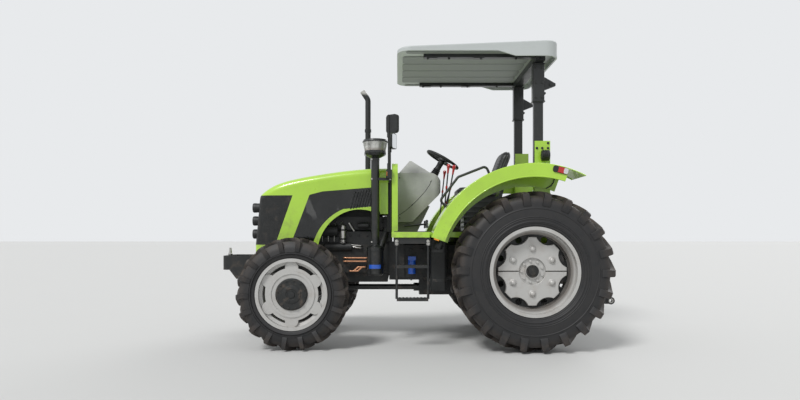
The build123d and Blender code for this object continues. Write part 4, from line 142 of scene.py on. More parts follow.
class TractorStage(bpy.types.PropertyGroup):
    """Light, floor and camera"""
    floor: colour_setting("Floor", "Pale studio floor", 205, 205, 203)
    sky: colour_setting("Backdrop", "What the camera sees behind the floor", 232, 234, 236)
    key: number_setting("Key light", "Strength of the main light", 2.1)
    fill: number_setting("Fill light", "Strength of the light from the other side", 0.7)
    dome: number_setting("Dome light", "Strength of the light from all round", 0.55)
    camera: FloatVectorProperty(name="Camera", description="Where the camera stands", subtype="TRANSLATION",
                                unit="LENGTH", default=(0.162, 6.0, 1.08))
    lens: number_setting("Lens", "Focal length in millimetres on a 36 mm sensor", 26.1, 1.0)


def sizes():
    return bpy.context.scene.tractor_sizes


def shade(colour, factor):
    """A colour made lighter or darker."""
    return tuple(min(1.0, part * factor) for part in colour)


def tint(name, factor=1.0):
    """One of the colour settings, made lighter or darker."""
    return shade(getattr(bpy.context.scene.tractor_colours, name), factor)


class Wire:
    """A node's output that takes Python arithmetic."""

    def __init__(self, finish, socket):
        self.finish = finish
        self.socket = socket

    def combine(self, operation, first, second):
        return self.finish.node("ShaderNodeMath", {"operation": operation}, {0: first, 1: second})

    def __add__(self, other):
        return self.combine("ADD", self, other)

    def __mul__(self, other):
        return self.combine("MULTIPLY", self, other)

    def __sub__(self, other):
        return self.combine("SUBTRACT", self, other)

    def __rsub__(self, other):
        return self.combine("SUBTRACT", other, self)

    def __pow__(self, other):
        return self.combine("POWER", self, other)

    def __gt__(self, other):
        return self.combine("GREATER_THAN", self, other)

    def rise(self, low, high):
        """0 below low, 1 above high and smooth between."""
        return self.finish.node("ShaderNodeMapRange", {"interpolation_type": "SMOOTHSTEP"},
                                {0: self, 1: low, 2: high, 3: 0.0, 4: 1.0})


class Finish:
    """One procedural material."""

    def __init__(self, name):
        self.material = bpy.data.materials.new(name)
        self.material.use_nodes = True
        self.tree = self.material.node_tree
        self.tree.nodes.clear()
        self.shader = self.tree.nodes.new("ShaderNodeBsdfPrincipled")
        output = self.tree.nodes.new("ShaderNodeOutputMaterial")
        self.tree.links.new(self.shader.outputs[0], output.inputs[0])
        self.place = self.node("ShaderNodeTexCoord", output="Object")

    def plug(self, socket, value):
        """Links a wire to a socket, or sets the socket's own value."""
        if isinstance(value, Wire):
            self.tree.links.new(value.socket, socket)
        elif socket.type == "RGBA":
            socket.default_value = (*value[:3], 1.0)
        else:
            socket.default_value = value

    def node(self, kind, settings=None, inputs=None, output=0):
        """Any node: its settings first, then the values or links of its sockets."""
        made = self.tree.nodes.new(kind)
        for name, value in (settings or {}).items():
            setattr(made, name, value)
        for name, value in (inputs or {}).items():
            self.plug(made.inputs[name], value)
        return Wire(self, made.outputs[output])

    def axis(self, letter):
        return self.node("ShaderNodeSeparateXYZ", inputs={0: self.place}, output=letter)

    def below(self, low, high):
        """1 under a height, 0 over another and smooth between."""
        return 1.0 - self.axis("Z").rise(low, high)

    def noise(self, scale, detail=4.0, roughness=0.6, stretch=None):
        vector = self.place
        if stretch:
            vector = self.node("ShaderNodeVectorMath", {"operation": "MULTIPLY"}, {0: self.place, 1: stretch})
        return self.node("ShaderNodeTexNoise", inputs={"Vector": vector, "Scale": scale, "Detail": detail,
                                                       "Roughness": roughness})

    def cells(self, scale, feature="F1"):
        return self.node("ShaderNodeTexVoronoi", {"feature": feature}, {"Vector": self.place, "Scale": scale})

    def ribs(self, direction, scale):
        return self.node("ShaderNodeTexWave", {"bands_direction": direction},
                         {"Vector": self.place, "Scale": scale, "Distortion": 0.0})

    def mix(self, factor, first, second):
        return self.node("ShaderNodeMix", {"data_type": "RGBA"}, {0: factor, 6: first, 7: second}, output=2)

    def tones(self, factor, name, low, high):
        """From one shade of a colour setting to another."""
        return self.mix(factor, tint(name, low), tint(name, high))

    def dusted(self, share, tone, factor=1.0):
        """A tone with a share of it covered by the dust colour: dust, and painted shade inside the rear rims'
        barrels.
        """
        return self.mix(share, tone, tint("dust", factor))

    def from_line(self, centre):
        """Distance from a wheel's axle line, seen from the side."""
        across = self.axis("X") - centre.x
        upward = self.axis("Z") - centre.z
        return (across * across + upward * upward) ** 0.5

    def bump(self, height, distance, strength=1.0):
        return self.node("ShaderNodeBump",
                         inputs={"Strength": strength, "Distance": distance, "Height": height})

    def grain(self, scale, detail, distance, strength):
        """The fine unevenness of paint or a casting."""
        return self.bump(self.noise(scale, detail), distance, strength)

    def pebbles(self, scale, distance, strength):
        """The pebbled skin of a moulding."""
        return self.bump(self.cells(scale), distance, strength)

    def give(self, **values):
        """Sets the shader's own sockets; an underscore stands for a blank."""
        for name, value in values.items():
            self.plug(self.shader.inputs[name.replace("_", " ")], value)
        return self.material


def lime_paint(finish):
    smear = finish.noise(14.0, 6.0)
    film = (finish.below(0.85, 1.45) * 0.55 + 0.05) * smear.rise(0.42, 0.75)
    paint = finish.tones(finish.noise(1.6, 3.0).rise(0.3, 0.7), "lime", 0.93, 1.05)
    return finish.give(Base_Color=finish.dusted(film, paint), Roughness=smear * 0.16 + 0.22 + film * 0.4,
                       Coat_Weight=0.45, Coat_Roughness=0.07, Normal=finish.grain(210.0, 2.0, 0.0003, 0.35))


def mottled_silver(finish):
    """Wheel paint dulled in patches: the patches, and the colour."""
    mottled = finish.noise(9.0, 7.0)
    return mottled, finish.dusted(mottled.rise(0.45, 0.8) * 0.3, tint("silver"), 1.5)


def wheel_paint(finish):
    mottled, paint = mottled_silver(finish)
    specks = finish.noise(120.0, 3.0).rise(0.58, 0.72) * mottled.rise(0.45, 0.8)
    return finish.give(Base_Color=finish.dusted(specks * 0.5, paint, 0.6), Metallic=0.25,
                       Roughness=mottled * 0.25 + 0.3, Normal=finish.grain(320.0, 2.0, 0.0004, 0.4))


def rear_rim_paint(finish):
    """Silver barrel and hub, with painted shade on the disc behind the weights and inside the barrel."""
    mottled, paint = mottled_silver(finish)
    away = finish.from_line(REAR_AXLE)
    past_disc = away.rise(0.330, 0.337)
    # Painted shade: the disc behind the weights is painted near black.
    disc = away.rise(0.126, 0.130) * (1.0 - past_disc)
    barrel = (1.0 - away.rise(0.345, 0.378)) * past_disc
    # Painted shade: the inside of the barrel is darkened towards the disc with a dark dust colour.
    barrel_painted_shade = finish.dusted(barrel * 0.72, paint, 0.35)
    return finish.give(Base_Color=finish.mix(disc, barrel_painted_shade, tint("black", 0.8)), Metallic=0.25 - disc * 0.2,
                       Roughness=mottled * 0.25 + 0.3, Normal=finish.grain(320.0, 2.0, 0.0004, 0.4))


def tyre_rubber(finish, tyre, lug_h):
    """Rubber with soil caked on and between the lugs."""
    tip_r = tyre["tip_r"]
    body_r = tip_r - lug_h
    away = finish.from_line(tyre["axle"])
    lugs = away.rise(body_r - 0.085, body_r - 0.02) * 0.45 + away.rise(body_r, tip_r - 0.006) * 0.55
    cake = finish.noise(11.0, 8.0, 0.65)
    fine = finish.noise(70.0, 5.0)
    mask = (lugs * 0.42 + 0.04) * cake.rise(0.28, 0.6) * (fine * 0.5 + 0.65)
    soil = finish.tones(fine, "dust", 0.55, 1.05)
    grain = finish.noise(420.0, 2.0) * 0.4 + cake * mask
    return finish.give(Base_Color=finish.mix(mask, finish.tones(cake, "rubber", 0.8, 1.35), soil),
                       Roughness=mask * 0.3 + 0.56, Normal=finish.bump(grain, 0.0016, 0.5))


def rear_rubber(finish):
    return tyre_rubber(finish, REAR_TYRE, sizes().rear_lug)


def front_rubber(finish):
    return tyre_rubber(finish, FRONT_TYRE, sizes().front_lug)


def cast_iron(finish):
    grime = finish.noise(13.0, 8.0)
    dust = grime.rise(0.48, 0.78) * (finish.below(0.45, 1.05) * 0.42 + 0.1)
    return finish.give(Base_Color=finish.dusted(dust, finish.tones(grime, "black", 0.7, 1.6)),
                       Roughness=grime * 0.3 + 0.36, Normal=finish.grain(170.0, 4.0, 0.0012, 0.55))


def black_paint(finish):
    smear = finish.noise(17.0, 6.0)
    dust = smear.rise(0.5, 0.8) * (finish.below(0.5, 1.15) * 0.35 + 0.07)
    return finish.give(Base_Color=finish.dusted(dust, finish.tones(smear, "black", 0.85, 1.5)),
                       Roughness=smear * 0.22 + 0.26, Coat_Weight=0.15,
                       Normal=finish.grain(260.0, 2.0, 0.0003, 0.4))


def exhaust_paint(finish):
    """Black pipe with a painted highlight at its tip, in bright steel."""
    soot = finish.noise(18.0, 6.0)
    # Painted highlight: the top of the pipe turns bright and metallic above 2.60 m.
    bright = (finish.axis("Z") + soot * 0.05).rise(2.60, 2.64)
    tone = finish.tones(soot, "black", 0.8, 1.7)
    return finish.give(Base_Color=finish.mix(bright, tone, tint("steel")), Metallic=bright * 0.8,
                       Roughness=soot * 0.3 + 0.3, Normal=finish.grain(150.0, 3.0, 0.0006, 0.4))


def black_plastic(finish):
    smear = finish.noise(12.0, 5.0)
    return finish.give(Base_Color=finish.tones(smear.rise(0.35, 0.75), "black", 0.7, 1.35),
                       Roughness=smear * 0.2 + 0.42, Normal=finish.pebbles(620.0, 0.0004, 0.5))


def grille_mesh(finish):
    """Black moulding pierced by a fine mesh, with painted shade in its openings."""
    shaded_holes = finish.cells(150.0, "DISTANCE_TO_EDGE").rise(0.05, 0.16)
    smear = finish.noise(12.0, 5.0)
    # Painted shade: the middles of the cells are painted near black as the dark inside the openings.
    tone = finish.tones(shaded_holes, "black", 1.5, 0.25)
    return finish.give(Base_Color=finish.dusted(smear.rise(0.5, 0.8) * 0.25, tone),
                       Roughness=smear * 0.2 + 0.3, Normal=finish.bump(1.0 - shaded_holes, 0.002, 0.8))


def rubber_mat(finish):
    dust = finish.noise(9.0, 7.0)
    return finish.give(Base_Color=finish.dusted(dust.rise(0.4, 0.75) * 0.5, tint("black", 1.2)),
                       Roughness=dust * 0.2 + 0.7, Normal=finish.bump(finish.ribs("Y", 26.0), 0.003, 0.7))


def drive_belt(finish):
    worn = finish.noise(40.0, 4.0)
    return finish.give(Base_Color=finish.mix(worn, (0.012, 0.012, 0.012), (0.04, 0.038, 0.036)),
                       Roughness=worn * 0.2 + 0.55, Normal=finish.grain(300.0, 2.0, 0.0005, 0.5))


def canopy_plastic(finish):
    cloud = finish.noise(2.3, 5.0)
    streak = finish.noise(30.0, 4.0, 0.5, (0.15, 1.0, 1.0)).rise(0.6, 0.85)
    tone = finish.tones(cloud.rise(0.3, 0.75), "canopy", 0.94, 1.02)
    return finish.give(Base_Color=finish.dusted(streak * 0.12, tone, 1.2), Roughness=cloud * 0.15 + 0.4,
                       Normal=finish.pebbles(480.0, 0.0003, 0.4))


# Painted shade: the canopy's own colour at about half its brightness, for the shaded underside.
def canopy_liner(finish):
    cloud = finish.noise(3.0, 5.0)
    return finish.give(Base_Color=finish.tones(cloud, "canopy", 0.42, 0.55), Roughness=cloud * 0.15 + 0.5,
                       Normal=finish.pebbles(480.0, 0.0003, 0.4))


def console_plastic(finish):
    """Grey moulding, with painted shade in an olive grey low down."""
    cloud = finish.noise(5.0, 6.0)
    # Painted shade: below about 1.4 to 1.6 m the colour is mixed halfway to the olive grey.
    low_painted_shade = (1.0 - (finish.axis("Z") + cloud * 0.12).rise(1.36, 1.6)) * 0.5
    tone = finish.tones(cloud.rise(0.3, 0.7), "console", 0.88, 1.1)
    return finish.give(Base_Color=finish.mix(low_painted_shade, tone, tint("straw")), Roughness=cloud * 0.2 + 0.4,
                       Normal=finish.pebbles(380.0, 0.0004, 0.5))


def filter_blue(finish):
    smear = finish.noise(20.0, 6.0)
    return finish.give(Base_Color=finish.dusted(smear.rise(0.45, 0.85) * 0.5, tint("blue"), 0.6),
                       Roughness=smear * 0.25 + 0.2, Coat_Weight=0.4,
                       Normal=finish.grain(240.0, 2.0, 0.0003, 0.3))


def plated_pipe(finish):
    smear = finish.noise(26.0, 5.0)
    return finish.give(Base_Color=finish.tones(smear, "copper", 0.7, 1.25), Metallic=0.85,
                       Roughness=smear * 0.3 + 0.2)


def bright_steel(finish):
    brushed = finish.noise(90.0, 4.0, 0.5, (1.0, 0.1, 1.0))
    smear = finish.noise(15.0, 5.0)
    return finish.give(Base_Color=finish.tones(smear.rise(0.4, 0.8) * 0.5, "steel", 1.0, 0.45), Metallic=0.9,
                       Roughness=brushed * 0.2 + 0.2, Normal=finish.bump(brushed, 0.0002, 0.3))


def clear_bowl(finish):
    """Clear plastic, hazy and with silt at the bottom."""
    haze = finish.noise(16.0, 5.0, 0.55, (1.0, 1.0, 0.25))
    tone = finish.mix(haze.rise(0.35, 0.7), (0.24, 0.24, 0.22), (0.80, 0.80, 0.77))
    return finish.give(Base_Color=finish.dusted(finish.below(1.858, 1.885) * 0.6, tone),
                       Roughness=haze * 0.12 + 0.08, Transmission_Weight=0.25, IOR=1.45, Coat_Weight=0.3)


def dark_window(finish):
    """Dark film that lets a little of the engine show."""
    haze = finish.noise(7.0, 6.0)
    film = finish.noise(28.0, 5.0)
    tone = finish.mix(haze.rise(0.45, 0.8), (0.004, 0.005, 0.005), (0.022, 0.023, 0.023))
    patch = finish.noise(6.5, 2.0, 0.4, (1.0, 1.0, 0.7)).rise(0.555, 0.60) * finish.axis("Z").rise(1.18, 1.26)
    return finish.give(Base_Color=finish.mix(patch * 0.75, tone, (0.10, 0.10, 0.098)),
                       Roughness=film * 0.1 + 0.06, Coat_Weight=0.4, Alpha=haze * 0.16 + 0.72)


def seat_vinyl(finish):
    rub = finish.noise(6.0, 5.0)
    grain = finish.cells(330.0, "DISTANCE_TO_EDGE")
    return finish.give(Base_Color=finish.tones(rub.rise(0.3, 0.8), "vinyl", 0.75, 1.4),
                       Roughness=rub * 0.2 + 0.36, Normal=finish.bump(grain, 0.0007, 0.6))


def lens_ribs(finish, colour):
    """A moulded lens with upright ribs."""
    depth = finish.noise(16.0, 3.0)
    return finish.give(Base_Color=finish.mix(depth, shade(colour, 0.75), shade(colour, 1.2)),
                       Roughness=depth * 0.08 + 0.08, Coat_Weight=0.5, Transmission_Weight=0.2,
                       Normal=finish.bump(finish.ribs("X", 60.0), 0.0006, 0.35))


def red_lens(finish):
    return lens_ribs(finish, tint("red"))


def amber_lens(finish):
    return lens_ribs(finish, tint("amber"))


def clear_lens(finish):
    return lens_ribs(finish, (0.78, 0.79, 0.80))


def signal_lens(finish):
    """Red at the tail and amber at the fender's foot."""
    depth = finish.noise(16.0, 3.0)
    tone = finish.mix(finish.axis("X") > -0.7, tint("red"), tint("amber"))
    return finish.give(Base_Color=finish.mix(depth * 0.3, tone, (0.05, 0.02, 0.01)),
                       Roughness=depth * 0.08 + 0.1, Coat_Weight=0.5,
                       Normal=finish.grain(90.0, 2.0, 0.0004, 0.4))


def mirror_glass(finish):
    haze = finish.noise(9.0, 4.0)
    return finish.give(Base_Color=finish.mix(haze, (0.72, 0.74, 0.75), (0.85, 0.87, 0.88)), Metallic=1.0,
                       Roughness=haze * 0.05 + 0.02)


# Each finish, and the pieces that wear it
# The tractor's own solids by finish
NODE_FINISHES = {
    rear_rim_paint: ("rear_rim_left", "rear_rim_right"),
    wheel_paint: ("rear_ballast_left", "rear_ballast_right", "front_rim_left", "front_rim_right"),
    rear_rubber: ("rear_tyre_left", "rear_tyre_right"),
    front_rubber: ("front_tyre_left", "front_tyre_right"),
    cast_iron: ("front_hub_left", "front_hub_right", "front_axle_beam", "knuckle_left", "knuckle_right",
                "tie_rod", "front_frame", "front_weight_bracket", "engine", "transmission", "rear_axle"),
    black_paint: ("radiator", "drive_shaft", "drawbar", "air_intake", "seat_base", "controls", "grab_rails",
                  "rops_frame", "steps", "lift_arms", "lower_links", "lift_rods", "top_link"),
    exhaust_paint: ("exhaust_stack",),
    bright_steel: ("steering_rod",),
    plated_pipe: ("hydraulic_pipes",),
    filter_blue: ("filters",),
    clear_bowl: ("precleaner_bowl",),
    lime_paint: ("platform", "cowl", "fender_left", "fender_right", "rops_brackets", "hood_shell"),
    console_plastic: ("console",),
    black_plastic: ("steering_wheel", "mirrors", "fuel_tanks", "work_lamps", "headlamps"),
    grille_mesh: ("grille",),
    dark_window: ("hood_panels",),
    seat_vinyl: ("seat_cushion", "seat_backrest"),
    signal_lens: ("signal_lamps",),
    canopy_plastic: ("canopy",),
}
made_finishes = {}


def finish_of(maker):
    """A maker's material, made when it is first asked for."""
    if maker not in made_finishes:
        made_finishes[maker] = maker(Finish(maker.__name__))
    return made_finishes[maker]


def axes_of(axis):
    """The axis as a unit vector, and two more square to it."""
    along = Vector(axis).normalized()
    helper = UP if abs(along.z) < 0.9 else AHEAD
    across = helper.cross(along).normalized()
    return along, across, along.cross(across)


def smooth_by_angle(mesh, degrees):
    mesh.polygons.foreach_set("use_smooth", [True] * len(mesh.polygons))
    mesh.set_sharp_from_angle(angle=math.radians(degrees))


def rounded(centre, first, second, half_first, half_second, radius, steps=4):
    """Points round a rounded rectangle that lies along two directions."""
    points = []
    for turn, (along, across) in enumerate(((1, 1), (-1, 1), (-1, -1), (1, -1))):
        for step in range(steps + 1):
            angle = math.pi / 2 * (turn + step / steps)
            points.append(Vector(centre) + first * (along * (half_first - radius) + radius * math.cos(angle))
                          + second * (across * (half_second - radius) + radius * math.sin(angle)))
    return points


def on_circle(centre, radius, degrees, y):
    """A point on a circle seen from the side, from straight ahead and upwards."""
    angle = math.radians(degrees)
    return Vector((centre.x + radius * math.cos(angle), y, centre.z + radius * math.sin(angle)))


def spread_round(count, centre, radius, start, y):
    """Points evenly round a circle seen from the side."""
    return [on_circle(centre, radius, start + 360 / count * index, y) for index in range(count)]


def grid(firsts, seconds):
    """All pairs of two rows of numbers."""
    return [(first, second) for first in firsts for second in seconds]


def outer_face(node, sign):
    """Where a node ends on its left (1) or right (-1) side."""
    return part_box(node)[1 if sign > 0 else 0].y


class Form:
    """Gathers the faces of one piece, in metres in the tractor's own frame."""

    def __init__(self):
        self.mesh = bmesh.new()

    def loft(self, rings, caps=True):
        """Quads from each ring of points to the next."""
        rows = [[self.mesh.verts.new(point) for point in ring] for ring in rings]
        count = len(rows[0])
        for near, far in zip(rows, rows[1:]):
            for index in range(count):
                following = (index + 1) % count
                self.mesh.faces.new((near[index], near[following], far[following], far[index]))
        if caps:
            self.mesh.faces.new(rows[0][::-1])
            self.mesh.faces.new(rows[-1])

    def turned(self, profile, base, axis, steps=24, caps=False):
        """A turned form from (distance along the axis, radius) points: capped, or a ring closed on itself."""
        along, across, upward = axes_of(axis)
        rings = []
        for reach, radius in profile:
            ring = []
            for index in range(steps):
                angle = math.tau * index / steps
                ring.append(base + along * reach + across * (radius * math.cos(angle))
                            + upward * (radius * math.sin(angle)))
            rings.append(ring)
        if not caps:
            rings.append(rings[0])
        self.loft(rings, caps)

    def band(self, middle, axis, half, inner, outer, steps):
        """A flat ring round an axis."""
        self.turned(((-half, inner), (-half, outer), (half, outer), (half, inner)), middle, axis, steps)

    def tube(self, points, radius, steps=10):
        """A round bar along points."""
        path = [Vector(point) for point in points]
        rings = []
        across = None
        for index, point in enumerate(path):
            ahead = path[min(index + 1, len(path) - 1)] - path[max(index - 1, 0)]
            ahead.normalize()
            if across is None:
                across = axes_of(ahead)[1]
            across = (across - ahead * across.dot(ahead)).normalized()
            upward = ahead.cross(across)
            rings.append([point + across * (radius * math.cos(math.tau * step / steps))
                          + upward * (radius * math.sin(math.tau * step / steps)) for step in range(steps)])
        self.loft(rings)

    def bolt(self, seat, axis, across, tall=0.6):
        """A hexagon head on its washer."""
        self.turned(((-0.002, across * 0.72), (across * 0.1, across * 0.72), (across * 0.13, across * 0.62)),
                    seat, axis, 16, caps=True)
        radius = across / math.sqrt(3)
        self.turned(((0.0, radius), (across * tall * 0.85, radius), (across * tall, radius * 0.82)),
                    seat, axis, 6, caps=True)

    def bolts(self, seats, axis, across, tall=0.6):
        """Bolts at several places."""
        for seat in seats:
            self.bolt(Vector(seat), axis, across, tall)

    def side_bolts(self, sign, y, places, across, tall=0.6):
        """Bolts at (x, z) places on a face that looks left (1) or right (-1)."""
        self.bolts([(x, sign * y, z) for x, z in places], LEFT * sign, across, tall)

    def dome(self, seat, axis, radius, tall):
        """A round cap."""
        profile = [(-0.002, radius)]
        for step in range(5):
            angle = math.pi / 2 * step / 5
            profile.append((tall * math.sin(angle), radius * math.cos(angle)))
        self.turned(profile, seat, axis, 18, caps=True)

    def slab(self, corner, first, second, third):
        """A block from a corner and its three edges."""
        self.plate([corner, corner + first, corner + first + second, corner + second], third)

    def block(self, corner, length, width, height):
        """A block that lies square to the tractor."""
        self.slab(Vector(corner), AHEAD * length, LEFT * width, UP * height)

    def plate(self, outline, lift):
        """A flat plate: an outline of points, and how far its other face is."""
        lower = [Vector(point) for point in outline]
        self.loft([lower, [point + lift for point in lower]])

    def level_plate(self, centre, half_l, half_w, radius, thick):
        """A level plate with rounded corners."""
        self.plate(rounded(centre, AHEAD, LEFT, half_l, half_w, radius), UP * thick)

    def shape(self, name, maker, angle=35.0):
        """Makes the object."""
        bmesh.ops.recalc_face_normals(self.mesh, faces=self.mesh.faces[:])
        mesh = bpy.data.meshes.new(name)
        self.mesh.to_mesh(mesh)
        self.mesh.free()
        mesh.materials.append(finish_of(maker))
        smooth_by_angle(mesh, angle)
        made = bpy.data.objects.new(name, mesh)
        bpy.context.scene.collection.objects.link(made)
        return made

    def piece(self, name, maker, body="chassis", bevel=0.0, angle=35.0, slot=None):
        """Makes the object and lets it ride on a body."""
        made = self.shape(name, maker, angle)
        if bevel:
            rounding = made.modifiers.new("rounding", "BEVEL")
            rounding.width = bevel
            rounding.segments = 2
            rounding.limit_method = "ANGLE"
            rounding.angle_limit = math.radians(angle)
            rounding.harden_normals = False
        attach(made, body)
        return made


# Turned shapes, each as (distance along the axis, radius) points
WEIGHT_WASHER = ((-0.002, 0.034), (0.004, 0.034), (0.007, 0.031))
REAR_HUB_CAP = ((-0.026, 0.0665), (-0.004, 0.0615), (0.001, 0.058), (0.002, 0.046), (0.0015, 0.040),
                (0.008, 0.036), (0.010, 0.02))
FRONT_HUB_COVER = ((-0.004, 0.086), (0.004, 0.084), (0.006, 0.078), (0.006, 0.05), (0.002, 0.046),
                   (0.002, 0.034), (0.009, 0.030), (0.010, 0.012))
HEADLAMP_BEZEL = ((-0.030, 0.0475), (-0.006, 0.0475), (0.002, 0.044), (0.003, 0.037), (-0.003, 0.035))
WORK_LAMP_BEZEL = ((-0.020, 0.0515), (0.0, 0.0515), (0.004, 0.047), (0.004, 0.041), (-0.002, 0.039))
LEVER_GRIP = ((-0.019, 0.006), (-0.017, 0.012), (-0.010, 0.017), (0.0, 0.0185), (0.010, 0.017),
              (0.030, 0.011), (0.075, 0.0085))
LEVER_BOOT = ((0.0, 0.036), (0.012, 0.036), (0.020, 0.028), (0.034, 0.030), (0.042, 0.022), (0.054, 0.024),
              (0.062, 0.015), (0.075, 0.009))
WHEEL_CAP = ((-0.004, 0.050), (0.004, 0.049), (0.010, 0.044), (0.011, 0.030), (0.008, 0.028), (0.009, 0.010))
WHEEL_SPOKE = ((0.04, 0.012), (0.055, 0.016), (0.10, 0.013), (0.158, 0.0145), (0.166, 0.016))
INTAKE_RIM = ((0.0, 0.118), (0.0, 0.122), (0.007, 0.1225), (0.010, 0.119))
INTAKE_LID = ((0.0, 0.106), (0.001, 0.112), (0.004, 0.100), (0.006, 0.060), (0.012, 0.050), (0.014, 0.020))
CLEANER_HOOP = ((-0.006, 0.079), (-0.004, 0.0825), (0.004, 0.0825), (0.006, 0.079))
OIL_COOLER = ((0.0, 0.018), (0.006, 0.027), (0.020, 0.029), (0.165, 0.029), (0.182, 0.026), (0.190, 0.014))
SIDE_CANISTER = ((0.0, 0.030), (0.10, 0.030), (0.11, 0.024))
STEP_STUD = ((0.0, 0.0085), (0.004, 0.0075), (0.004, 0.0045), (0.002, 0.004))
TANK_CAP = ((-0.004, 0.036), (0.006, 0.036), (0.012, 0.040), (0.028, 0.040), (0.032, 0.034))
TOW_PIN = ((0.0, 0.019), (0.006, 0.024), (0.014, 0.024), (0.020, 0.018), (0.060, 0.012), (0.075, 0.012))
LINK_BALL = ((-0.018, 0.0145), (-0.018, 0.022), (-0.010, 0.027), (0.010, 0.027), (0.018, 0.022),
             (0.018, 0.0145))
TOP_LINK_BARREL = ((0.15, 0.017), (0.155, 0.0235), (0.185, 0.0235), (0.19, 0.021), (0.315, 0.021),
                   (0.32, 0.0235), (0.35, 0.0235), (0.355, 0.017))
LIFT_ROD_BARREL = ((0.24, 0.012), (0.245, 0.019), (0.275, 0.019), (0.28, 0.0165), (0.42, 0.0165),
                   (0.425, 0.019), (0.455, 0.019), (0.46, 0.012))
LIFT_ARM_CAP = ((0.0, 0.020), (0.008, 0.020), (0.011, 0.017))
POWER_SHAFT_RING = ((0.0, 0.062), (0.010, 0.060), (0.014, 0.052), (0.014, 0.030), (0.008, 0.028))


class TRACTOR_OT_finishes(bpy.types.Operator):
    """Give every solid of the tractor its finish"""
    bl_idname = "tractor.finishes"
    bl_label = "Finishes"

    def execute(self, context):
        for maker, names in NODE_FINISHES.items():
            for name in names:
                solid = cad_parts[name]
                solid.data.materials.clear()
                solid.data.materials.append(finish_of(maker))
                smooth_by_angle(solid.data, 28.0)
        return {"FINISHED"}


def lug_stations(half_w, body_r, tip_r):
    """Stations along one lug: (base y, base radius, top y, top radius, base half width, top half width)."""
    run = half_w - 0.02
    wide = half_w / 0.1925
    crown = 0.4 * (tip_r - body_r)
    return (
        (-0.016, body_r - 0.006, -0.012, tip_r - 0.003, 0.026 * wide, 0.017 * wide),
        (run * 0.18, body_r - 0.006, run * 0.18, tip_r - crown * 0.03, 0.028 * wide, 0.019 * wide),
        (run * 0.42, body_r - 0.007, run * 0.42, tip_r - crown * 0.18, 0.029 * wide, 0.020 * wide),
        (run * 0.68, body_r - 0.010, run * 0.70, tip_r - crown * 0.5, 0.031 * wide, 0.022 * wide),
        (run * 0.88, body_r - 0.020, run * 0.97, tip_r - crown, 0.034 * wide, 0.025 * wide),
        (half_w - 0.022, body_r - 0.045, half_w - 0.004, tip_r - crown - 0.014, 0.036 * wide, 0.028 * wide),
        (half_w - 0.017, body_r - 0.075, half_w - 0.001, tip_r - 0.062, 0.037 * wide, 0.030 * wide),
        (half_w - 0.013, body_r - 0.100, half_w - 0.006, body_r - 0.088, 0.036 * wide, 0.032 * wide),
    )


def side_wall(half_w, body_r, flange_r, seat_r, rim_half):
    """One half of a tyre's section from the bead to the tread: (distance from the middle, radius) points."""
    steps = 40
    ridge_steps = (3, 4, 10, 14, 33, 34)
    ridge_h = 0.0045
    foot_r = flange_r + 0.03
    foot_y = rim_half + 0.010
    shoulder_r = body_r - 0.095
    bulge_y = half_w - 0.012
    points = [(rim_half - 0.001, seat_r + 0.001), (rim_half - 0.001, flange_r + 0.001),
              (rim_half + 0.006, flange_r + 0.006), (rim_half + 0.011, flange_r + 0.014),
              (rim_half + 0.0105, flange_r + 0.024)]
    for step in range(steps + 1):
        share = step / steps
        swell = math.sin(math.pi * min(1.0, 0.28 + 0.5 * share))
        ridge = ridge_h if step in ridge_steps else 0.0
        points.append((foot_y + (bulge_y - foot_y) * swell + ridge, foot_r + (shoulder_r - foot_r) * share))
    return points + [(half_w - 0.016, body_r - 0.070), (half_w - 0.024, body_r - 0.040),
                     (half_w - 0.042, body_r - 0.018), (half_w * 0.6, body_r - 0.007),
                     (half_w * 0.3, body_r - 0.002)]


def tyre_piece(end, side, sign, tyre, lug_h, lugs, maker):
    """A tyre: its turned carcass and two rows of slanting lugs."""
    form = Form()
    tip_r = tyre["tip_r"]
    half_w = tyre["half_w"]
    body_r = tip_r - lug_h
    wall = side_wall(half_w, body_r, tyre["seat_r"] + 0.0225, tyre["seat_r"], tyre["rim_half"])
    profile = wall + [(0.0, body_r)] + [(-reach, radius) for reach, radius in reversed(wall)]
    middle = tyre["axle"] + LEFT * (sign * tyre["wheel_y"])
    form.turned(profile, middle, LEFT, sizes().tyre_steps)
    stations = lug_stations(half_w, body_r, tip_r)
    for row, offset in ((1, 0.0), (-1, 0.5)):
        for index in range(lugs):
            start = math.pi + math.tau * (index + offset) / lugs
            rings = []
            for base_y, base_r, top_y, top_r, base_w, top_w in stations:
                ring = []
                lean = base_w * 0.1
                for y, radius, shift in ((base_y, base_r, -base_w), (top_y, top_r, lean - top_w),
                                         (top_y, top_r, lean + top_w), (base_y, base_r, base_w)):
                    reach = max(0.0, y) / half_w
                    angle = start - (y / tip_r) * (1.05 - 0.42 * reach) + shift / radius
                    ring.append((middle.x + radius * math.sin(angle), middle.y + row * y,
                                 middle.z + radius * math.cos(angle)))
                rings.append(ring)
            form.loft(rings)
    made = form.piece(f"{end}_tyre_tread_{side}", maker, f"{end}_wheel_{side}", sizes().tread_bevel, 42.0)
    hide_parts(f"{end}_tyre_{side}")


class TRACTOR_OT_tyres(bpy.types.Operator):
    """Make the four lugged tyres"""
    bl_idname = "tractor.tyres"
    bl_label = "Tyres"

    def execute(self, context):
        for side, sign in SIDES:
            tyre_piece("rear", side, sign, REAR_TYRE, sizes().rear_lug, sizes().rear_lugs, rear_rubber)
            tyre_piece("front", side, sign, FRONT_TYRE, sizes().front_lug, sizes().front_lugs, front_rubber)
        return {"FINISHED"}


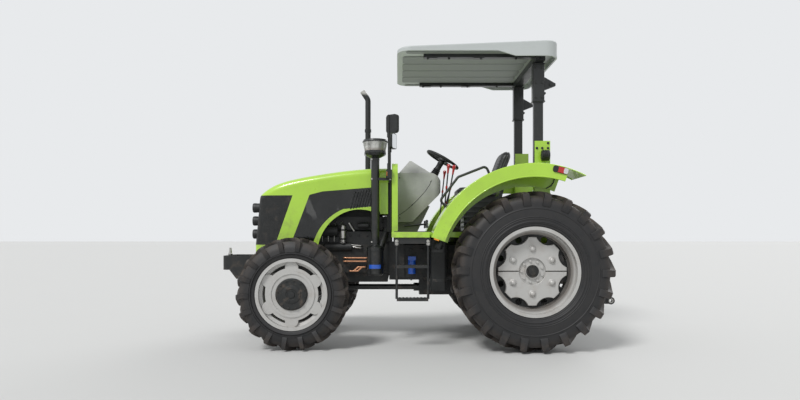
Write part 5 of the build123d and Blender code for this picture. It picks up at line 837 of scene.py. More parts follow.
class TRACTOR_OT_wheel_fasteners(bpy.types.Operator):
    """Make the bolts and caps of the wheels"""
    bl_idname = "tractor.wheel_fasteners"
    bl_label = "Wheel fasteners"

    def execute(self, context):
        for side, sign in SIDES:
            out = LEFT * sign
            rear_wheel = f"rear_wheel_{side}"
            weights, hub, cap, cover = Form(), Form(), Form(), Form()
            for seat in spread_round(6, REAR_AXLE, 0.202, 30, outer_face(f"rear_ballast_{side}", sign)):
                weights.turned(WEIGHT_WASHER, seat, out, 24, caps=True)
                weights.dome(seat + out * 0.006, out, 0.026, 0.022)
            weights.piece(f"weight_bolts_{side}", wheel_paint, rear_wheel, angle=50.0)
            ring_face = sign * (REAR_TYRE["wheel_y"] + 0.030)
            hub.bolts(spread_round(9, REAR_AXLE, 0.096, 0, ring_face), out, sizes().hub_bolt, 0.75)
            hub.piece(f"rear_hub_bolts_{side}", wheel_paint, rear_wheel)
            cap_face = ring_face + sign * 0.026
            cap.turned(REAR_HUB_CAP, REAR_AXLE + LEFT * cap_face, out, 40, caps=True)
            cap.bolts(spread_round(5, REAR_AXLE, 0.0505, 20, cap_face + sign * 0.0015), out, 0.009, 0.7)
            cap.piece(f"rear_hub_cap_{side}", cast_iron, rear_wheel)
            hub_face = outer_face(f"front_hub_{side}", sign)
            cover.bolts(spread_round(12, FRONT_AXLE, 0.127, 10, hub_face), out, 0.015)
            cover.turned(FRONT_HUB_COVER, FRONT_AXLE + LEFT * hub_face, out, 40, caps=True)
            cover.bolts(spread_round(3, FRONT_AXLE, 0.064, 50, hub_face + sign * 0.006), out, 0.012)
            cover.piece(f"front_hub_cover_{side}", cast_iron, f"front_wheel_{side}")
        return {"FINISHED"}


class TRACTOR_OT_canopy_lining(bpy.types.Operator):
    """Make the grooved lining under the canopy, coloured as painted shade, and the screws of its rails"""
    bl_idname = "tractor.canopy_lining"
    bl_label = "Canopy lining"

    def execute(self, context):
        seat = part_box("rops_frame")[1].z
        front, rear = 0.115, -1.10
        middle_x, half_l = (front + rear) / 2, (front - rear) / 2
        strips, width, groove = 4, 0.24, 0.016
        lining, rails = Form(), Form()
        for index in range(strips):
            y = width * (index + 0.5 - strips / 2)
            lining.level_plate((middle_x, y, seat - 0.0055), half_l, (width - groove) / 2, 0.03, 0.0055)
        for sign in SIGNS:
            edge = (middle_x + 0.02, sign * 0.60, seat - 0.004)
            lining.level_plate(edge, half_l - 0.05, 0.034, 0.03, 0.004)
            rail_y = sign * 0.53
            screws = [(x, rail_y, 2.7182) for x in (-0.95, -0.62, -0.32, -0.12)]
            rails.bolts(screws, -UP, sizes().frame_bolt * 0.8)
            for x in (-0.60, -0.16):
                rails.level_plate((x, rail_y, 2.7175), 0.05, 0.026, 0.008, -0.004)
        # The lining's colour is painted shade.
        lining.piece("canopy_lining", canopy_liner, bevel=0.002)
        rails.piece("canopy_rail_bolts", black_paint)
        return {"FINISHED"}


class TRACTOR_OT_roll_bar_fittings(bpy.types.Operator):
    """Make the bolts, collars and pins of the roll bar"""
    bl_idname = "tractor.roll_bar_fittings"
    bl_label = "Roll bar fittings"

    def execute(self, context):
        bolts, collars = Form(), Form()
        small, large = sizes().trim_bolt * 1.3, sizes().frame_bolt
        groups = (
            (0.4972, small, ((-1.262, 1.924), (-1.156, 1.876), (-1.206, 1.876), (-1.262, 1.876))),
            (0.4972, large, grid((-1.205, -1.145), (1.70, 1.62))),
            (0.498, large * 0.8, grid((-1.205, -1.145), (2.36, 2.50, 2.64))),
            (0.4732, large, ((-1.29, 2.487),)),
            (0.5602, large, ((-1.20, 2.721), (-1.15, 2.721))),
        )
        for sign in SIGNS:
            for y, across, places in groups:
                bolts.side_bolts(sign, y, places, across)
            for z in (2.322, 2.678):
                collars.level_plate((-1.175, sign * 0.458, z - 0.006), 0.061, 0.046, 0.012, 0.012)
            collars.tube(((-1.232, sign * 0.430, 2.40), (-1.232, sign * 0.486, 2.40)), 0.013, 16)
        bolts.piece("roll_bar_bolts", black_paint)
        collars.piece("roll_bar_collars", black_paint, bevel=0.002)
        return {"FINISHED"}


class TRACTOR_OT_lamps(bpy.types.Operator):
    """Make the lamps' lenses, bezels and housings"""
    bl_idname = "tractor.lamps"
    bl_label = "Lamps"

    def execute(self, context):
        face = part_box("headlamps")[1].x
        bezels, lenses = Form(), Form()
        for y, z in grid((-0.205, 0.205), (1.320, 1.190, 1.060)):
            seat = Vector((face, y, z))
            bezels.turned(HEADLAMP_BEZEL, seat, AHEAD, 36)
            lenses.dome(seat - AHEAD * 0.003, AHEAD, 0.0355, 0.008)
        bezels.piece("headlamp_bezels", black_plastic, "hood")
        lenses.piece("headlamp_lenses", clear_lens, "hood", angle=50.0)

        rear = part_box("work_lamps")[0].x
        bezels, lenses = Form(), Form()
        fins, fin_pitch = 5, 0.009
        for sign in SIGNS:
            seat = Vector((rear, sign * 0.5472, 1.80))
            bezels.turned(WORK_LAMP_BEZEL, seat, -AHEAD, 36)
            for step in range(fins):
                start = -0.024 - fin_pitch * step
                fin = ((start, 0.0495), (start - 0.0025, 0.0525), (start - 0.005, 0.0495))
                bezels.turned(fin, seat, -AHEAD, 36)
            lenses.dome(seat + AHEAD * 0.002, -AHEAD, 0.0395, 0.007)
        bezels.piece("work_lamp_bezels", black_plastic)
        lenses.piece("work_lamp_lenses", clear_lens, angle=50.0)

        housings, whites = Form(), Form()
        turn = math.radians(103.7)
        outward = Vector((math.cos(turn), 0.0, math.sin(turn)))
        along = Vector((-math.sin(turn), 0.0, math.cos(turn)))
        aside = along * 0.0455
        for sign in SIGNS:
            middle = REAR_AXLE + outward * (0.965 - 0.0385) + LEFT * (sign * 0.9003)
            out = LEFT * sign
            housings.plate(rounded(middle, along, outward, 0.0695, 0.029, 0.018), out * 0.006)
            housings.plate(rounded(middle - aside, along, outward, 0.0215, 0.0255, 0.012), out * 0.0132)
            whites.plate(rounded(middle + aside, along, outward, 0.0195, 0.0245, 0.012), out * 0.0130)
        housings.piece("tail_lamp_housings", black_plastic, bevel=0.001)
        whites.piece("tail_lamp_white_lenses", clear_lens, bevel=0.001)
        return {"FINISHED"}


def filled_out(pad, cap):
    """Lets the pad's cover swell as cloth, no point further than cap from where it began."""
    scene = bpy.context.scene
    voxels = pad.modifiers.new("voxels", "REMESH")
    voxels.mode = "VOXEL"
    voxels.voxel_size = sizes().pad_voxel
    fine = bpy.data.meshes.new_from_object(pad.evaluated_get(bpy.context.evaluated_depsgraph_get()))
    pad.modifiers.clear()
    pad.data = fine
    begun = [vertex.co.copy() for vertex in fine.vertices]
    cover = pad.modifiers.new("cover", "CLOTH")
    cover.settings.use_pressure = True
    cover.settings.uniform_pressure_force = 4.0
    cover.settings.effector_weights.gravity = 0.0
    for number in range(1, 21):
        scene.frame_set(number)
    settled = pad.evaluated_get(bpy.context.evaluated_depsgraph_get()).data
    moves = [after.co - before for after, before in zip(settled.vertices, begun)]
    pad.modifiers.clear()
    for vertex, before, move in zip(fine.vertices, begun, moves):
        if move.length > cap:
            move = move.normalized() * cap
        vertex.co = before + move
    scene.frame_set(1)


def sewn(pad, seams):
    """Draws the cover in along its seams, each given by a function of distance from it."""
    depth, width = 0.007, 0.006
    normals = [vertex.normal.copy() for vertex in pad.data.vertices]
    for vertex, normal in zip(pad.data.vertices, normals):
        pull = sum(math.exp(-(seam(vertex.co) / width) ** 2) for seam in seams)
        vertex.co -= normal * (depth * min(1.0, pull))


def finish_pad(pad, node):
    """Smooths a pad, gives it its finish and puts it in its solid's place."""
    smooth = pad.modifiers.new("finer", "SUBSURF")
    smooth.levels = 1
    smooth.render_levels = 1
    pad.data.materials.clear()
    pad.data.materials.append(finish_of(seat_vinyl))
    smooth_by_angle(pad.data, 180.0)
    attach(pad, "chassis")
    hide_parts(node)


class TRACTOR_OT_seat(bpy.types.Operator):
    """Make the seat's cushion and backrest as sewn vinyl pads, and the bellows under them"""
    bl_idname = "tractor.seat"
    bl_label = "Seat"

    def execute(self, context):
        # A distance at which a seam no longer pulls
        far = 1.0
        low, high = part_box("seat_cushion")
        middle = (low + high) / 2
        half = (high - low) / 2
        rings = []
        for height, inset, radius in ((0.0, 0.030, 0.05), (0.010, 0.016, 0.06), (0.045, 0.012, 0.07),
                                      (0.068, 0.016, 0.07), (0.078, 0.036, 0.06)):
            centre = (middle.x, middle.y, low.z + height)
            rings.append(rounded(centre, AHEAD, LEFT, half.x - inset, half.y - inset, radius, 6))
        form = Form()
        form.loft(rings)
        cushion = form.shape("seat_cushion_pad", seat_vinyl, 60.0)
        filled_out(cushion, sizes().pad_swell)
        for vertex in cushion.data.vertices:
            vertex.co.z = max(vertex.co.z, low.z)
        sewn(cushion, [lambda co: abs(abs(co.y) - 0.085) if co.z > low.z + 0.05 else far,
                       lambda co: abs(co.z - (low.z + 0.046))])
        finish_pad(cushion, "seat_cushion")

        low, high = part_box("seat_backrest")
        lean = 0.15 / (high.z - low.z)
        thick = 0.092
        up_back = Vector((-lean, 0.0, 1.0)).normalized()
        foot = Vector((high.x - thick / 2, 0.0, low.z))
        tall = (high.z - low.z) / up_back.z
        rings = []
        for reach, inset in ((-0.034, 0.034), (-0.026, 0.018), (0.0, 0.012), (0.026, 0.018), (0.034, 0.036)):
            centre = foot + up_back * (tall / 2) + AHEAD * reach
            rings.append(rounded(centre, up_back, LEFT, tall / 2 - inset, 0.217 - inset, 0.075, 6))
        form = Form()
        form.loft(rings)
        back = form.shape("seat_backrest_pad", seat_vinyl, 60.0)
        filled_out(back, sizes().pad_swell)

        def ahead_of_middle(co):
            """How far a point is in front of the backrest's leaning middle plane."""
            return co.x - foot.x - lean * (foot.z - co.z)

        def across(co):
            """Distance from the seam across the backrest's face."""
            return abs((co - foot).dot(up_back) - tall * 0.45) if ahead_of_middle(co) > 0 else far

        sewn(back, [across,
                    lambda co: abs(ahead_of_middle(co)),
                    lambda co: abs(abs(co.y) - 0.105) if ahead_of_middle(co) > 0 else far])
        finish_pad(back, "seat_backrest")

        bellows = Form()
        for z in (1.12, 1.17, 1.22, 1.27, 1.32, 1.37):
            bellows.level_plate((-0.675, 0.0, z), 0.176, 0.173, 0.02, 0.022)
        bellows.piece("seat_bellows", black_plastic, bevel=0.004)
        return {"FINISHED"}


class TRACTOR_OT_driver_controls(bpy.types.Operator):
    """Make the lever grips, pedal pads, boots, console seams, dials and wheel cap"""
    bl_idname = "tractor.driver_controls"
    bl_label = "Driver controls"

    def execute(self, context):
        grips, boots, pads, seams = Form(), Form(), Form(), Form()
        lever_x = -0.275
        for y, lean, top in ((0.300, 0.060, 1.730), (0.340, 0.110, 1.715), (-0.300, 0.070, 1.730),
                             (-0.345, 0.150, 1.600)):
            tip = Vector((lever_x - lean, y, top))
            down = (Vector((lever_x, y, 1.096)) - tip).normalized()
            grips.turned(LEVER_GRIP, tip, down, 20, caps=True)
            grips.band(tip + down * 0.2125, down, 0.0125, 0.008, 0.0105, 16)
            boots.turned(LEVER_BOOT, Vector((lever_x, y, DECK_Z - 0.0002)), UP, 24, caps=True)
        grips.piece("lever_grips", red_lens, angle=50.0)
        profile = [(-0.030, 0.062), (0.0, 0.060)]
        for step in range(7):
            reach, shrink = step * 0.018, step * 0.0018
            profile += [(0.014 + reach, 0.050 - shrink), (0.023 + reach, 0.043 - shrink)]
        profile += [(0.150, 0.030), (0.188, 0.029)]
        boots.turned(profile, Vector((-0.178, 0.0, 1.6148)), COLUMN, 32, caps=True)
        boots.piece("lever_and_column_boots", black_plastic, angle=50.0)
        for y, row in grid((-0.24, 0.16, 0.24), range(4)):
            pads.block((-0.1345, y - 0.028, 1.128 + row * 0.018), -0.004, 0.056, 0.010)
        pads.piece("pedal_pads", rubber_mat, bevel=0.001)

        curve = ((-0.176, 1.600), (-0.150, 1.545), (-0.114, 1.492), (-0.075, 1.447), (-0.030, 1.398),
                 (0.030, 1.340), (0.092, 1.287), (0.158, 1.245))
        for sign in SIGNS:
            y = sign * 0.2203
            seams.tube([(x, y, z) for x, z in curve], 0.0022, 8)
            for x, z in ((-0.165, 1.58), (0.02, 1.35), (0.145, 1.62), (0.145, 1.22)):
                seams.dome(Vector((x, y - sign * 0.0003, z)), LEFT * sign, 0.006, 0.003)
        seams.piece("console_seams", black_plastic, angle=50.0)
        self.dials()
        self.wheel_cap()
        return {"FINISHED"}

    def dials(self):
        """Three dials on the console's sloping face."""
        apex = Vector((0.0347, 0.0, 1.805))
        base = Vector((-0.170, 0.0, 1.668))
        slope = (apex - base).normalized()
        face = Vector((-slope.z, 0.0, slope.x))
        ticks, first, sweep = 11, -40, 260
        bezels, plates, marks = Form(), Form(), Form()
        for along, y, radius in ((0.075, 0.0, 0.046), (0.070, 0.078, 0.026), (0.070, -0.078, 0.026)):
            seat = base + slope * along + LEFT * y + face * 0.0015
            bezels.turned(((-0.006, radius + 0.006), (0.004, radius + 0.006), (0.006, radius + 0.003),
                           (0.004, radius)), seat, face, 36)
            plates.turned(((-0.004, radius), (0.0022, radius)), seat, face, 36, caps=True)
            for tick in range(ticks):
                angle = math.radians(first + sweep * tick / (ticks - 1))
                ray = LEFT * math.cos(angle) + slope * math.sin(angle)
                marks.slab(seat + ray * (radius * 0.78) + face * 0.0022, ray * (radius * 0.14),
                           ray.cross(face) * 0.0016, face * 0.0006)
            pointer = (LEFT * 0.45 + slope * 0.55).normalized() * (radius * 0.7)
            marks.slab(seat + face * 0.0024 - LEFT * 0.001, pointer, LEFT * 0.002, face * 0.0008)
        bezels.piece("dial_bezels", black_plastic)
        plates.piece("dials", black_paint, slot="black_plastic")
        marks.piece("dial_marks", clear_lens)

    def wheel_cap(self):
        """The cap and spoke covers that turn with the steering wheel."""
        cap = Form()
        cap.turned(WHEEL_CAP, WHEEL_HUB + COLUMN * 0.016, COLUMN, 36, caps=True)
        for degrees in (-90, 30, 150):
            angle = math.radians(degrees)
            ray = LEFT * math.cos(angle) + COLUMN.cross(LEFT) * math.sin(angle)
            cap.turned(WHEEL_SPOKE, WHEEL_HUB, ray, 14, caps=True)
        cap.piece("steering_wheel_cap", black_plastic, "steering_wheel", angle=50.0)


class TRACTOR_OT_mirror_glass(bpy.types.Operator):
    """Make the mirrors' glass, the joints and clamps of their posts and the clamps' markers"""
    bl_idname = "tractor.mirror_glass"
    bl_label = "Mirror glass"

    def execute(self, context):
        glass, joints, ambers = Form(), Form(), Form()
        for sign, degrees in zip(SIGNS, (55.0, 25.0)):
            turn = math.radians(degrees)
            facing = Vector((-math.cos(turn), -sign * math.sin(turn), 0.0))
            along = Vector((-sign * math.sin(turn), math.cos(turn), 0.0))
            post = Vector((0.250, sign * 0.51, 0.0))
            middle = post + along * (sign * 0.03125) + UP * 2.1025 + facing * 0.037
            glass.plate(rounded(middle, along, UP, 0.0545, 0.0795, 0.022, 6), facing * 0.0012)
            behind = middle - facing * 0.0005
            joints.plate(rounded(behind, along, UP, 0.0615, 0.0865, 0.027, 6), facing * 0.0006)
            joints.band(post + UP * 1.995, UP, 0.02, 0.010, 0.016, 20)
            joints.band(post + UP * 1.70, UP, 0.03, 0.010, 0.015, 20)
            joints.bolts([post + UP * z + AHEAD * 0.0142 for z in (1.615, 1.645)], AHEAD, sizes().trim_bolt)
            joints.block((0.232, sign * 0.488, 1.596), 0.044, sign * 0.038, 0.068)
            marker = (0.262, sign * 0.524, 1.630)
            ambers.plate(rounded(marker, AHEAD, UP, 0.008, 0.020, 0.004), LEFT * (sign * 0.006))
        glass.piece("mirror_panes", mirror_glass)
        ambers.piece("mirror_clamp_markers", amber_lens, bevel=0.001)
        joints.piece("mirror_joints", black_plastic)
        return {"FINISHED"}


class TRACTOR_OT_intake_fittings(bpy.types.Operator):
    """Make the bands, strap, lid and ribs of the air intake and the blue band of its cleaner"""
    bl_idname = "tractor.intake_fittings"
    bl_label = "Intake fittings"

    def execute(self, context):
        bands, bolts, band, ribs = Form(), Form(), Form(), Form()
        for z, radius, tall in ((1.585, 0.0415, 0.028), (1.772, 0.0415, 0.016), (0.985, 0.0430, 0.022)):
            bands.band(STACK + UP * z, UP, tall / 2, radius - 0.004, radius, 40)
            bolts.bolt(STACK + Vector((0.030, 0.030, z)), LEFT, sizes().trim_bolt)
        strap = ((0.350, 0.472, 1.572), (0.350, 0.472, 1.598), (0.222, 0.458, 1.598), (0.222, 0.458, 1.572))
        bands.plate(strap, LEFT * 0.005)
        bolts.bolt(Vector((0.235, 0.4645, 1.585)), LEFT, sizes().trim_bolt)
        bands.turned(INTAKE_RIM, STACK + UP * 1.9355, UP, 56)
        bands.turned(INTAKE_LID, STACK + UP * 1.9585, UP, 48, caps=True)
        for z in (0.72, 0.80, 0.90):
            bands.turned(CLEANER_HOOP, STACK + UP * z, UP, 48)
        bands.piece("intake_bands", black_paint)

        arc = [math.radians(48 + 7 * step) for step in range(13)]
        rings = []
        for z in (0.733, 0.770):
            ring = []
            for radius, turns in ((0.0825, arc), (0.0785, arc[::-1])):
                for turn in turns:
                    ring.append(STACK + Vector((radius * math.cos(turn), radius * math.sin(turn), z)))
            rings.append(ring)
        band.loft(rings)
        band.piece("cleaner_blue_band", filter_blue, bevel=0.001)
        bolts.piece("intake_bolts", bright_steel)
        count = 12
        for index in range(count):
            angle = math.tau * index / count
            ray = Vector((math.cos(angle), math.sin(angle), 0.0))
            ribs.slab(STACK + UP * 1.812 + ray * 0.098, ray * 0.005, ray.cross(UP) * 0.004, UP * 0.034)
        ribs.piece("intake_base_ribs", black_plastic)
        return {"FINISHED"}


class TRACTOR_OT_hood_trim(bpy.types.Operator):
    """Make the hood's louvres and the seal between it and the cowl"""
    bl_idname = "tractor.hood_trim"
    bl_label = "Hood trim"

    def execute(self, context):
        side_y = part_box("hood_panels")[1].y
        slats, seals = Form(), Form()
        rise = Vector((-0.044, 0.0, 0.168))
        for sign, index in grid(SIGNS, range(9)):
            foot = Vector((0.632 - 0.027 * index, sign * (side_y - 0.001), 1.305 + 0.004 * index))
            section = [foot - AHEAD * back + LEFT * (sign * out)
                       for back, out in ((0.0, 0.0), (0.017, 0.0), (0.012, 0.007), (0.005, 0.007))]
            slats.plate(section, rise)
        slats.piece("hood_louvres", black_plastic, "hood", 0.001)
        seal_x = 0.233
        for y in (0.337, -0.337):
            edge = ((seal_x, y, 1.095), (seal_x, y, 1.35), (seal_x, y, 1.55), (seal_x, y * 0.98, 1.60))
            seals.tube(edge, 0.0115, 12)
        seals.block((0.2215, -0.322, 1.0835), 0.048, 0.644, 0.480)
        seals.piece("bulkhead_seal", black_plastic)
        return {"FINISHED"}


def hull_of(points):
    """Corners of the tight band round a set of (y, z) points."""
    ordered = sorted(set(points))

    def half(run):
        chain = []
        for point in run:
            while len(chain) > 1 and ((chain[-1][0] - chain[-2][0]) * (point[1] - chain[-2][1])
                                      - (chain[-1][1] - chain[-2][1]) * (point[0] - chain[-2][0])) <= 0:
                chain.pop()
            chain.append(point)
        return chain[:-1]

    return half(ordered) + half(ordered[::-1])


class TRACTOR_OT_engine_fittings(bpy.types.Operator):
    """Make the engine's pipes, cooler, belt, bolts and valve block"""
    bl_idname = "tractor.engine_fittings"
    bl_label = "Engine fittings"

    def execute(self, context):
        inside = ENGINE_FLANK - 0.004
        off = ENGINE_FLANK + 0.030
        bright, dark, pipes, belt = Form(), Form(), Form(), Form()
        cooler = Vector((0.712, ENGINE_FLANK + 0.034, 0.965))
        bright.turned(OIL_COOLER, cooler, UP, 28, caps=True)
        for z in (1.01, 1.10):
            dark.band(Vector((cooler.x, cooler.y, z)), UP, 0.008, 0.028, 0.0315, 28)
            dark.block((cooler.x - 0.012, inside, z - 0.012), 0.024, 0.02, 0.024)
        bright.tube(((0.650, off, 1.165), (0.628, off + 0.002, 1.130), (0.606, off, 1.095)), 0.0085, 12)
        for x, z in ((0.650, 1.165), (0.606, 1.095)):
            bright.tube(((x, inside, z), (x, off, z)), 0.0075, 12)
        for z, start in ((0.948, 0.660), (0.924, 0.625)):
            run = ((start, inside, z + 0.012), (start - 0.004, off - 0.008, z + 0.010),
                   (start - 0.05, off, z), (0.535, off, z - 0.004), (0.520, inside, z - 0.006))
            bright.tube(run, 0.0075, 12)
        bright.piece("engine_bright_work", bright_steel, angle=50.0)
        places = grid([0.30 + 0.085 * step for step in range(9)], (0.745, 1.045))
        for sign in SIGNS:
            dark.side_bolts(sign, ENGINE_FLANK, places, 0.016)
        dark.turned(SIDE_CANISTER, Vector((0.455, ENGINE_FLANK + 0.028, 1.145)), AHEAD, 24, caps=True)
        for x in [0.74 + 0.06 * step for step in range(4)]:
            run = ((x, off, 0.985), (x, off + 0.006, 1.06), (x - 0.01, off - 0.006, 1.16),
                   (x - 0.02, 0.120, 1.20))
            pipes.tube(run, 0.0035, 8)
        pipes.piece("injector_pipes", bright_steel, angle=60.0)
        hose = ((0.330, 0.300, 0.905), (0.318, 0.285, 0.960), (0.300, 0.255, 1.010), (0.286, 0.215, 1.050),
                (0.282, 0.180, 1.085), (0.290, 0.140, 1.115))
        dark.tube(hose, 0.030, 18)
        dark.block((0.2225, -0.215, 0.986), 0.075, 0.430, 0.252)
        for y in (-0.15, -0.05, 0.05, 0.15):
            dark.tube(((0.297, y, 1.20), (0.318, y, 1.20), (0.330, y, 1.17)), 0.011, 10)
        dark.piece("engine_dark_work", cast_iron, bevel=0.002, angle=40.0)

        outline = []
        steps = 32
        pulleys = ((0.0, 0.760, 0.080), (ENGINE_FLANK, 1.090, 0.042), (0.0, 1.130, 0.060))
        for pulley_y, pulley_z, radius in pulleys:
            for step in range(steps):
                angle = math.tau * step / steps
                outline.append((pulley_y + radius * math.cos(angle), pulley_z + radius * math.sin(angle)))
        ring = hull_of(outline)
        belt.loft([[(x, y, z) for y, z in ring] for x in (1.076, 1.090)], caps=False)
        made = belt.piece("fan_belt", drive_belt, angle=60.0)
        made.modifiers.new("thickness", "SOLIDIFY").thickness = 0.006
        return {"FINISHED"}


class TRACTOR_OT_fender_trim(bpy.types.Operator):
    """Make the fenders' rolled edges, lamp conduits and bolts"""
    bl_idname = "tractor.fender_trim"
    bl_label = "Fender trim"

    def execute(self, context):
        beads, bolts, conduits = Form(), Form(), Form()
        steps, first = 48, 18.9
        conduit = ((-1.310, 0.560, 1.618), (-1.316, 0.528, 1.593), (-1.309, 0.5195, 1.553),
                   (-1.285, 0.5195, 1.516), (-1.238, 0.5195, 1.492))
        for sign in SIGNS:
            for radius, last, y, thick in ((0.8455, 107.8, 0.8965, 0.0065), (0.9575, 117.2, 0.5095, 0.0070)):
                beads.tube([on_circle(REAR_AXLE, radius, first + (last - first) * step / steps, sign * y)
                            for step in range(steps + 1)], thick, 10)
            for degrees in (34, 52, 70, 88, 104):
                bolts.bolt(on_circle(REAR_AXLE, 0.905, degrees, sign * 0.513), LEFT * sign, 0.018)
            for degrees in (30, 66, 96):
                bolts.dome(on_circle(REAR_AXLE, 0.9648, degrees, sign * 0.60),
                           on_circle(Vector(), 1.0, degrees, 0.0), 0.011, 0.005)
            conduits.tube([(x, sign * y, z) for x, y, z in conduit], 0.006, 10)
        beads.piece("fender_beads", lime_paint, angle=60.0)
        conduits.piece("lamp_conduits", black_plastic, angle=60.0)
        bolts.piece("fender_bolts", bright_steel)
        return {"FINISHED"}


class TRACTOR_OT_step_fittings(bpy.types.Operator):
    """Make the steps' studs and bolts, the floor mat, and the tanks' straps and caps"""
    bl_idname = "tractor.step_fittings"
    bl_label = "Step fittings"

    def execute(self, context):
        bright, dark, mat = Form(), Form(), Form()
        hanger_xs = (-0.114, 0.174)
        tank_x = -0.225
        for sign in SIGNS:
            out = LEFT * sign
            bright.side_bolts(sign, 0.7045, grid(hanger_xs, (0.995, 0.972)), 0.022, 0.8)
            for x in hanger_xs:
                dark.block((x - 0.022, sign * 0.700, 0.955), 0.044, sign * 0.004, 0.072)
            dark.block((-0.092, sign * 0.697, 0.972), 0.244, sign * 0.004, 0.052)
            for tread_z, (column, row) in grid((0.769, 0.468), grid(range(8), range(3))):
                seat = Vector((-0.085 + 0.033 * column, sign * (0.668 + 0.022 * row), tread_z + 0.009))
                dark.turned(STEP_STUD, seat, UP, 12, caps=True)
            for z in (0.62, 0.90):
                dark.level_plate((tank_x, sign * 0.3615, z - 0.014), 0.0822, 0.1382, 0.034, 0.028)
                bright.bolt(Vector((-0.1425, sign * 0.40, z)), AHEAD, 0.016)
            dark.turned(TANK_CAP, Vector((tank_x, sign * 0.4985, 0.955)), out, 28, caps=True)
            mat.level_plate((0.045, sign * 0.59, DECK_Z), 0.155, 0.12, 0.03, 0.006)
        dark.block((-0.10, -0.40, 0.9835), 0.30, 0.80, 0.0455)
        for y in (-0.48, 0.48):
            dark.block((-0.10, y - 0.02, 0.985), 0.305, 0.04, 0.044)
        bright.piece("step_bolts", bright_steel)
        dark.piece("step_and_tank_fittings", black_paint, bevel=0.0015)
        mat.level_plate((-0.40, 0.0, DECK_Z), 0.375, 0.49, 0.04, 0.006)
        mat.piece("floor_mat", rubber_mat, bevel=0.001)
        return {"FINISHED"}


class TRACTOR_OT_frame_fasteners(bpy.types.Operator):
    """Make the bolts of the frame, gearbox, rear axle and weight bracket, and the tow pin"""
    bl_idname = "tractor.frame_fasteners"
    bl_label = "Frame fasteners"

    def execute(self, context):
        dark, bright = Form(), Form()
        frame_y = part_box("front_frame")[1].y
        bracket_low, bracket_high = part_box("front_weight_bracket")
        gearbox_y = 0.215
        large, small = sizes().frame_bolt, 0.018
        flange = grid([-0.74 + 0.11 * step for step in range(8)], (0.905, 0.610))
        for sign in SIGNS:
            dark.side_bolts(sign, frame_y, grid((1.02, 1.24, 1.40, 1.52), (0.70, 0.81)), large)
            dark.side_bolts(sign, bracket_high.y, grid((1.60, 1.64), (0.70, 0.79)), large)
            dark.side_bolts(sign, gearbox_y, flange, small)
            bright.bolts(spread_round(8, REAR_AXLE, 0.118, 20, sign * 0.300), LEFT * sign, small)
        dark.piece("frame_bolts", cast_iron)
        bright.bolts([(bracket_low.x + 0.040, y, 0.79) for y in (-0.14, -0.05, 0.05, 0.14)], AHEAD, 0.020)
        bright.turned(TOW_PIN, Vector((1.896, 0.0, 0.842)), UP, 24, caps=True)
        bright.piece("axle_bolts", bright_steel)
        return {"FINISHED"}


class TRACTOR_OT_linkage_fittings(bpy.types.Operator):
    """Make the linkage's ball ends, barrels, threads and caps, and the rear case's bolts"""
    bl_idname = "tractor.linkage_fittings"
    bl_label = "Linkage fittings"

    def execute(self, context):
        ends_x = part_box("lower_links")[0].x + 0.036
        balls, rods, caps, barrel, threads, back = Form(), Form(), Form(), Form(), Form(), Form()
        for sign in SIGNS:
            balls.turned(LINK_BALL, Vector((ends_x, sign * 0.413, 0.420)), LEFT, 24)
            top = Vector((-1.580, sign * 0.2608, 1.100))
            low = Vector((-1.462, sign * 0.2950, 0.420))
            rods.turned(LIFT_ROD_BARREL, top, (low - top).normalized(), 20)
            caps.turned(LIFT_ARM_CAP, Vector((-1.230, sign * 0.2472, 1.100)), LEFT * sign, 24, caps=True)
        balls.piece("lower_link_balls", bright_steel, "lower_links", angle=50.0)

        foot = Vector((-1.342, 0.0, 0.900))
        lean = math.radians(24.0)
        along = Vector((-math.sin(lean), 0.0, math.cos(lean)))
        barrel.turned(TOP_LINK_BARREL, foot, along, 24)
        middle = foot + along * 0.2525
        handle = middle - LEFT * 0.062
        barrel.tube((middle - LEFT * 0.016, handle, handle + along * 0.07), 0.006, 10)
        barrel.piece("top_link_barrel", black_paint, "top_link", angle=40.0)
        for start, step in grid((0.075, 0.375), range(8)):
            reach = start + 0.0085 * step
            turn = ((reach, 0.0165), (reach + 0.003, 0.0188), (reach + 0.006, 0.0165))
            threads.turned(turn, foot, along, 20)
        threads.piece("top_link_threads", bright_steel, "top_link", angle=20.0)
        rods.piece("lift_rod_barrels", bright_steel, "lift_rods", angle=40.0)
        caps.piece("lift_arm_caps", bright_steel, "lift_arms")

        places = grid((-0.165, 0.165), (0.50, 0.62, 0.74, 0.86, 0.98)) + [(-0.085, 0.50), (0.085, 0.50)]
        back.bolts([(REAR_CASE_X, y, z) for y, z in places], -AHEAD, 0.020)
        shaft_z, ring_r, ring_bolts = 0.605, 0.045, 6
        back.turned(POWER_SHAFT_RING, Vector((REAR_CASE_X, 0.0, shaft_z)), -AHEAD, 36)
        for index in range(ring_bolts):
            angle = math.tau * index / ring_bolts
            seat = Vector((REAR_CASE_X - 0.012, ring_r * math.cos(angle), shaft_z + ring_r * math.sin(angle)))
            back.bolt(seat, -AHEAD, 0.012)
        back.piece("rear_case_bolts", cast_iron)
        return {"FINISHED"}


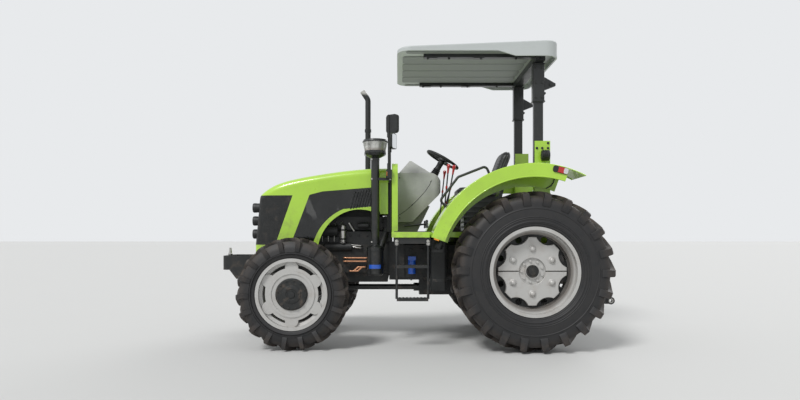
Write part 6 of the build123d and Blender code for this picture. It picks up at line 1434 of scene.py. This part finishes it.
class TRACTOR_OT_stage(bpy.types.Operator):
    """Set the floor, the light and the camera"""
    bl_idname = "tractor.stage"
    bl_label = "Stage"

    def execute(self, context):
        stage = context.scene.tractor_stage
        mesh = bpy.data.meshes.new("floor")
        reach = 60.0
        corners = [(-reach, -reach, 0.0), (reach, -reach, 0.0), (reach, reach, 0.0), (-reach, reach, 0.0)]
        mesh.from_pydata(corners, [], [(0, 1, 2, 3)])
        floor = bpy.data.objects.new("floor", mesh)
        context.scene.collection.objects.link(floor)
        finish = Finish("studio_floor")
        cloud = finish.noise(0.8, 3.0)
        pale = stage.floor
        mesh.materials.append(finish.give(Base_Color=finish.mix(cloud, shade(pale, 0.98), shade(pale, 1.0)),
                                          Roughness=cloud * 0.1 + 0.75))

        world = bpy.data.worlds.new("studio")
        context.scene.world = world
        world.use_nodes = True
        tree = world.node_tree
        tree.nodes.clear()
        light = tree.nodes.new("ShaderNodeBackground")
        light.inputs[0].default_value = (0.95, 0.97, 1.0, 1.0)
        light.inputs[1].default_value = stage.dome
        seen = tree.nodes.new("ShaderNodeBackground")
        seen.inputs[0].default_value = (*stage.sky, 1.0)
        path = tree.nodes.new("ShaderNodeLightPath")
        blend = tree.nodes.new("ShaderNodeMixShader")
        output = tree.nodes.new("ShaderNodeOutputWorld")
        seen_by = path.outputs["Is Camera Ray"]
        for ray in ("Is Glossy Ray", "Is Transmission Ray"):
            either = tree.nodes.new("ShaderNodeMath")
            either.operation = "MAXIMUM"
            tree.links.new(seen_by, either.inputs[0])
            tree.links.new(path.outputs[ray], either.inputs[1])
            seen_by = either.outputs[0]
        tree.links.new(seen_by, blend.inputs[0])
        tree.links.new(light.outputs[0], blend.inputs[1])
        tree.links.new(seen.outputs[0], blend.inputs[2])
        tree.links.new(blend.outputs[0], output.inputs[0])

        for name, strength, spread, direction in (("key_light", stage.key, 16.0, (-0.45, -0.62, -0.85)),
                                                  ("fill_light", stage.fill, 40.0, (0.55, 0.75, -0.6))):
            lamp = bpy.data.lights.new(name, "SUN")
            lamp.energy = strength
            lamp.angle = math.radians(spread)
            holder = bpy.data.objects.new(name, lamp)
            holder.rotation_euler = Vector(direction).to_track_quat("-Z", "Y").to_euler()
            context.scene.collection.objects.link(holder)

        lens = bpy.data.cameras.new("camera")
        lens.lens = stage.lens
        lens.sensor_width = 36.0
        lens.shift_x = 0.0025
        lens.shift_y = 0.04
        camera = bpy.data.objects.new("camera", lens)
        camera.location = stage.camera
        camera.rotation_euler = (math.radians(90.0), 0.0, math.radians(180.0))
        context.scene.collection.objects.link(camera)
        context.scene.camera = camera
        context.scene.view_settings.view_transform = "Standard"
        return {"FINISHED"}


STEPS = (TRACTOR_OT_stage, TRACTOR_OT_finishes, TRACTOR_OT_tyres, TRACTOR_OT_wheel_fasteners,
         TRACTOR_OT_canopy_lining, TRACTOR_OT_roll_bar_fittings, TRACTOR_OT_lamps, TRACTOR_OT_seat,
         TRACTOR_OT_driver_controls, TRACTOR_OT_mirror_glass, TRACTOR_OT_intake_fittings,
         TRACTOR_OT_hood_trim, TRACTOR_OT_engine_fittings, TRACTOR_OT_fender_trim, TRACTOR_OT_step_fittings,
         TRACTOR_OT_frame_fasteners, TRACTOR_OT_linkage_fittings)


class TRACTOR_PT_panel(bpy.types.Panel):
    """Sizes, colours and steps of the tractor"""
    bl_idname = "TRACTOR_PT_panel"
    bl_label = "Tractor"
    bl_space_type = "VIEW_3D"
    bl_region_type = "UI"
    bl_category = "Tractor"

    def draw(self, context):
        for step in STEPS:
            self.layout.operator(step.bl_idname)
        scene = context.scene
        for group in (scene.tractor_colours, scene.tractor_sizes, scene.tractor_stage):
            box = self.layout.box()
            for name in group.__annotations__:
                box.prop(group, name)


CLASSES = (TractorColours, TractorSizes, TractorStage, *STEPS, TRACTOR_PT_panel)


def register():
    for entry in CLASSES:
        bpy.utils.register_class(entry)
    bpy.types.Scene.tractor_colours = PointerProperty(type=TractorColours)
    bpy.types.Scene.tractor_sizes = PointerProperty(type=TractorSizes)
    bpy.types.Scene.tractor_stage = PointerProperty(type=TractorStage)


def unregister():
    del bpy.types.Scene.tractor_stage
    del bpy.types.Scene.tractor_sizes
    del bpy.types.Scene.tractor_colours
    for entry in reversed(CLASSES):
        bpy.utils.unregister_class(entry)


def main():
    register()
    for step in STEPS:
        group, name = step.bl_idname.split(".")
        getattr(getattr(bpy.ops, group), name)()


if __name__ == "__main__":
    main()
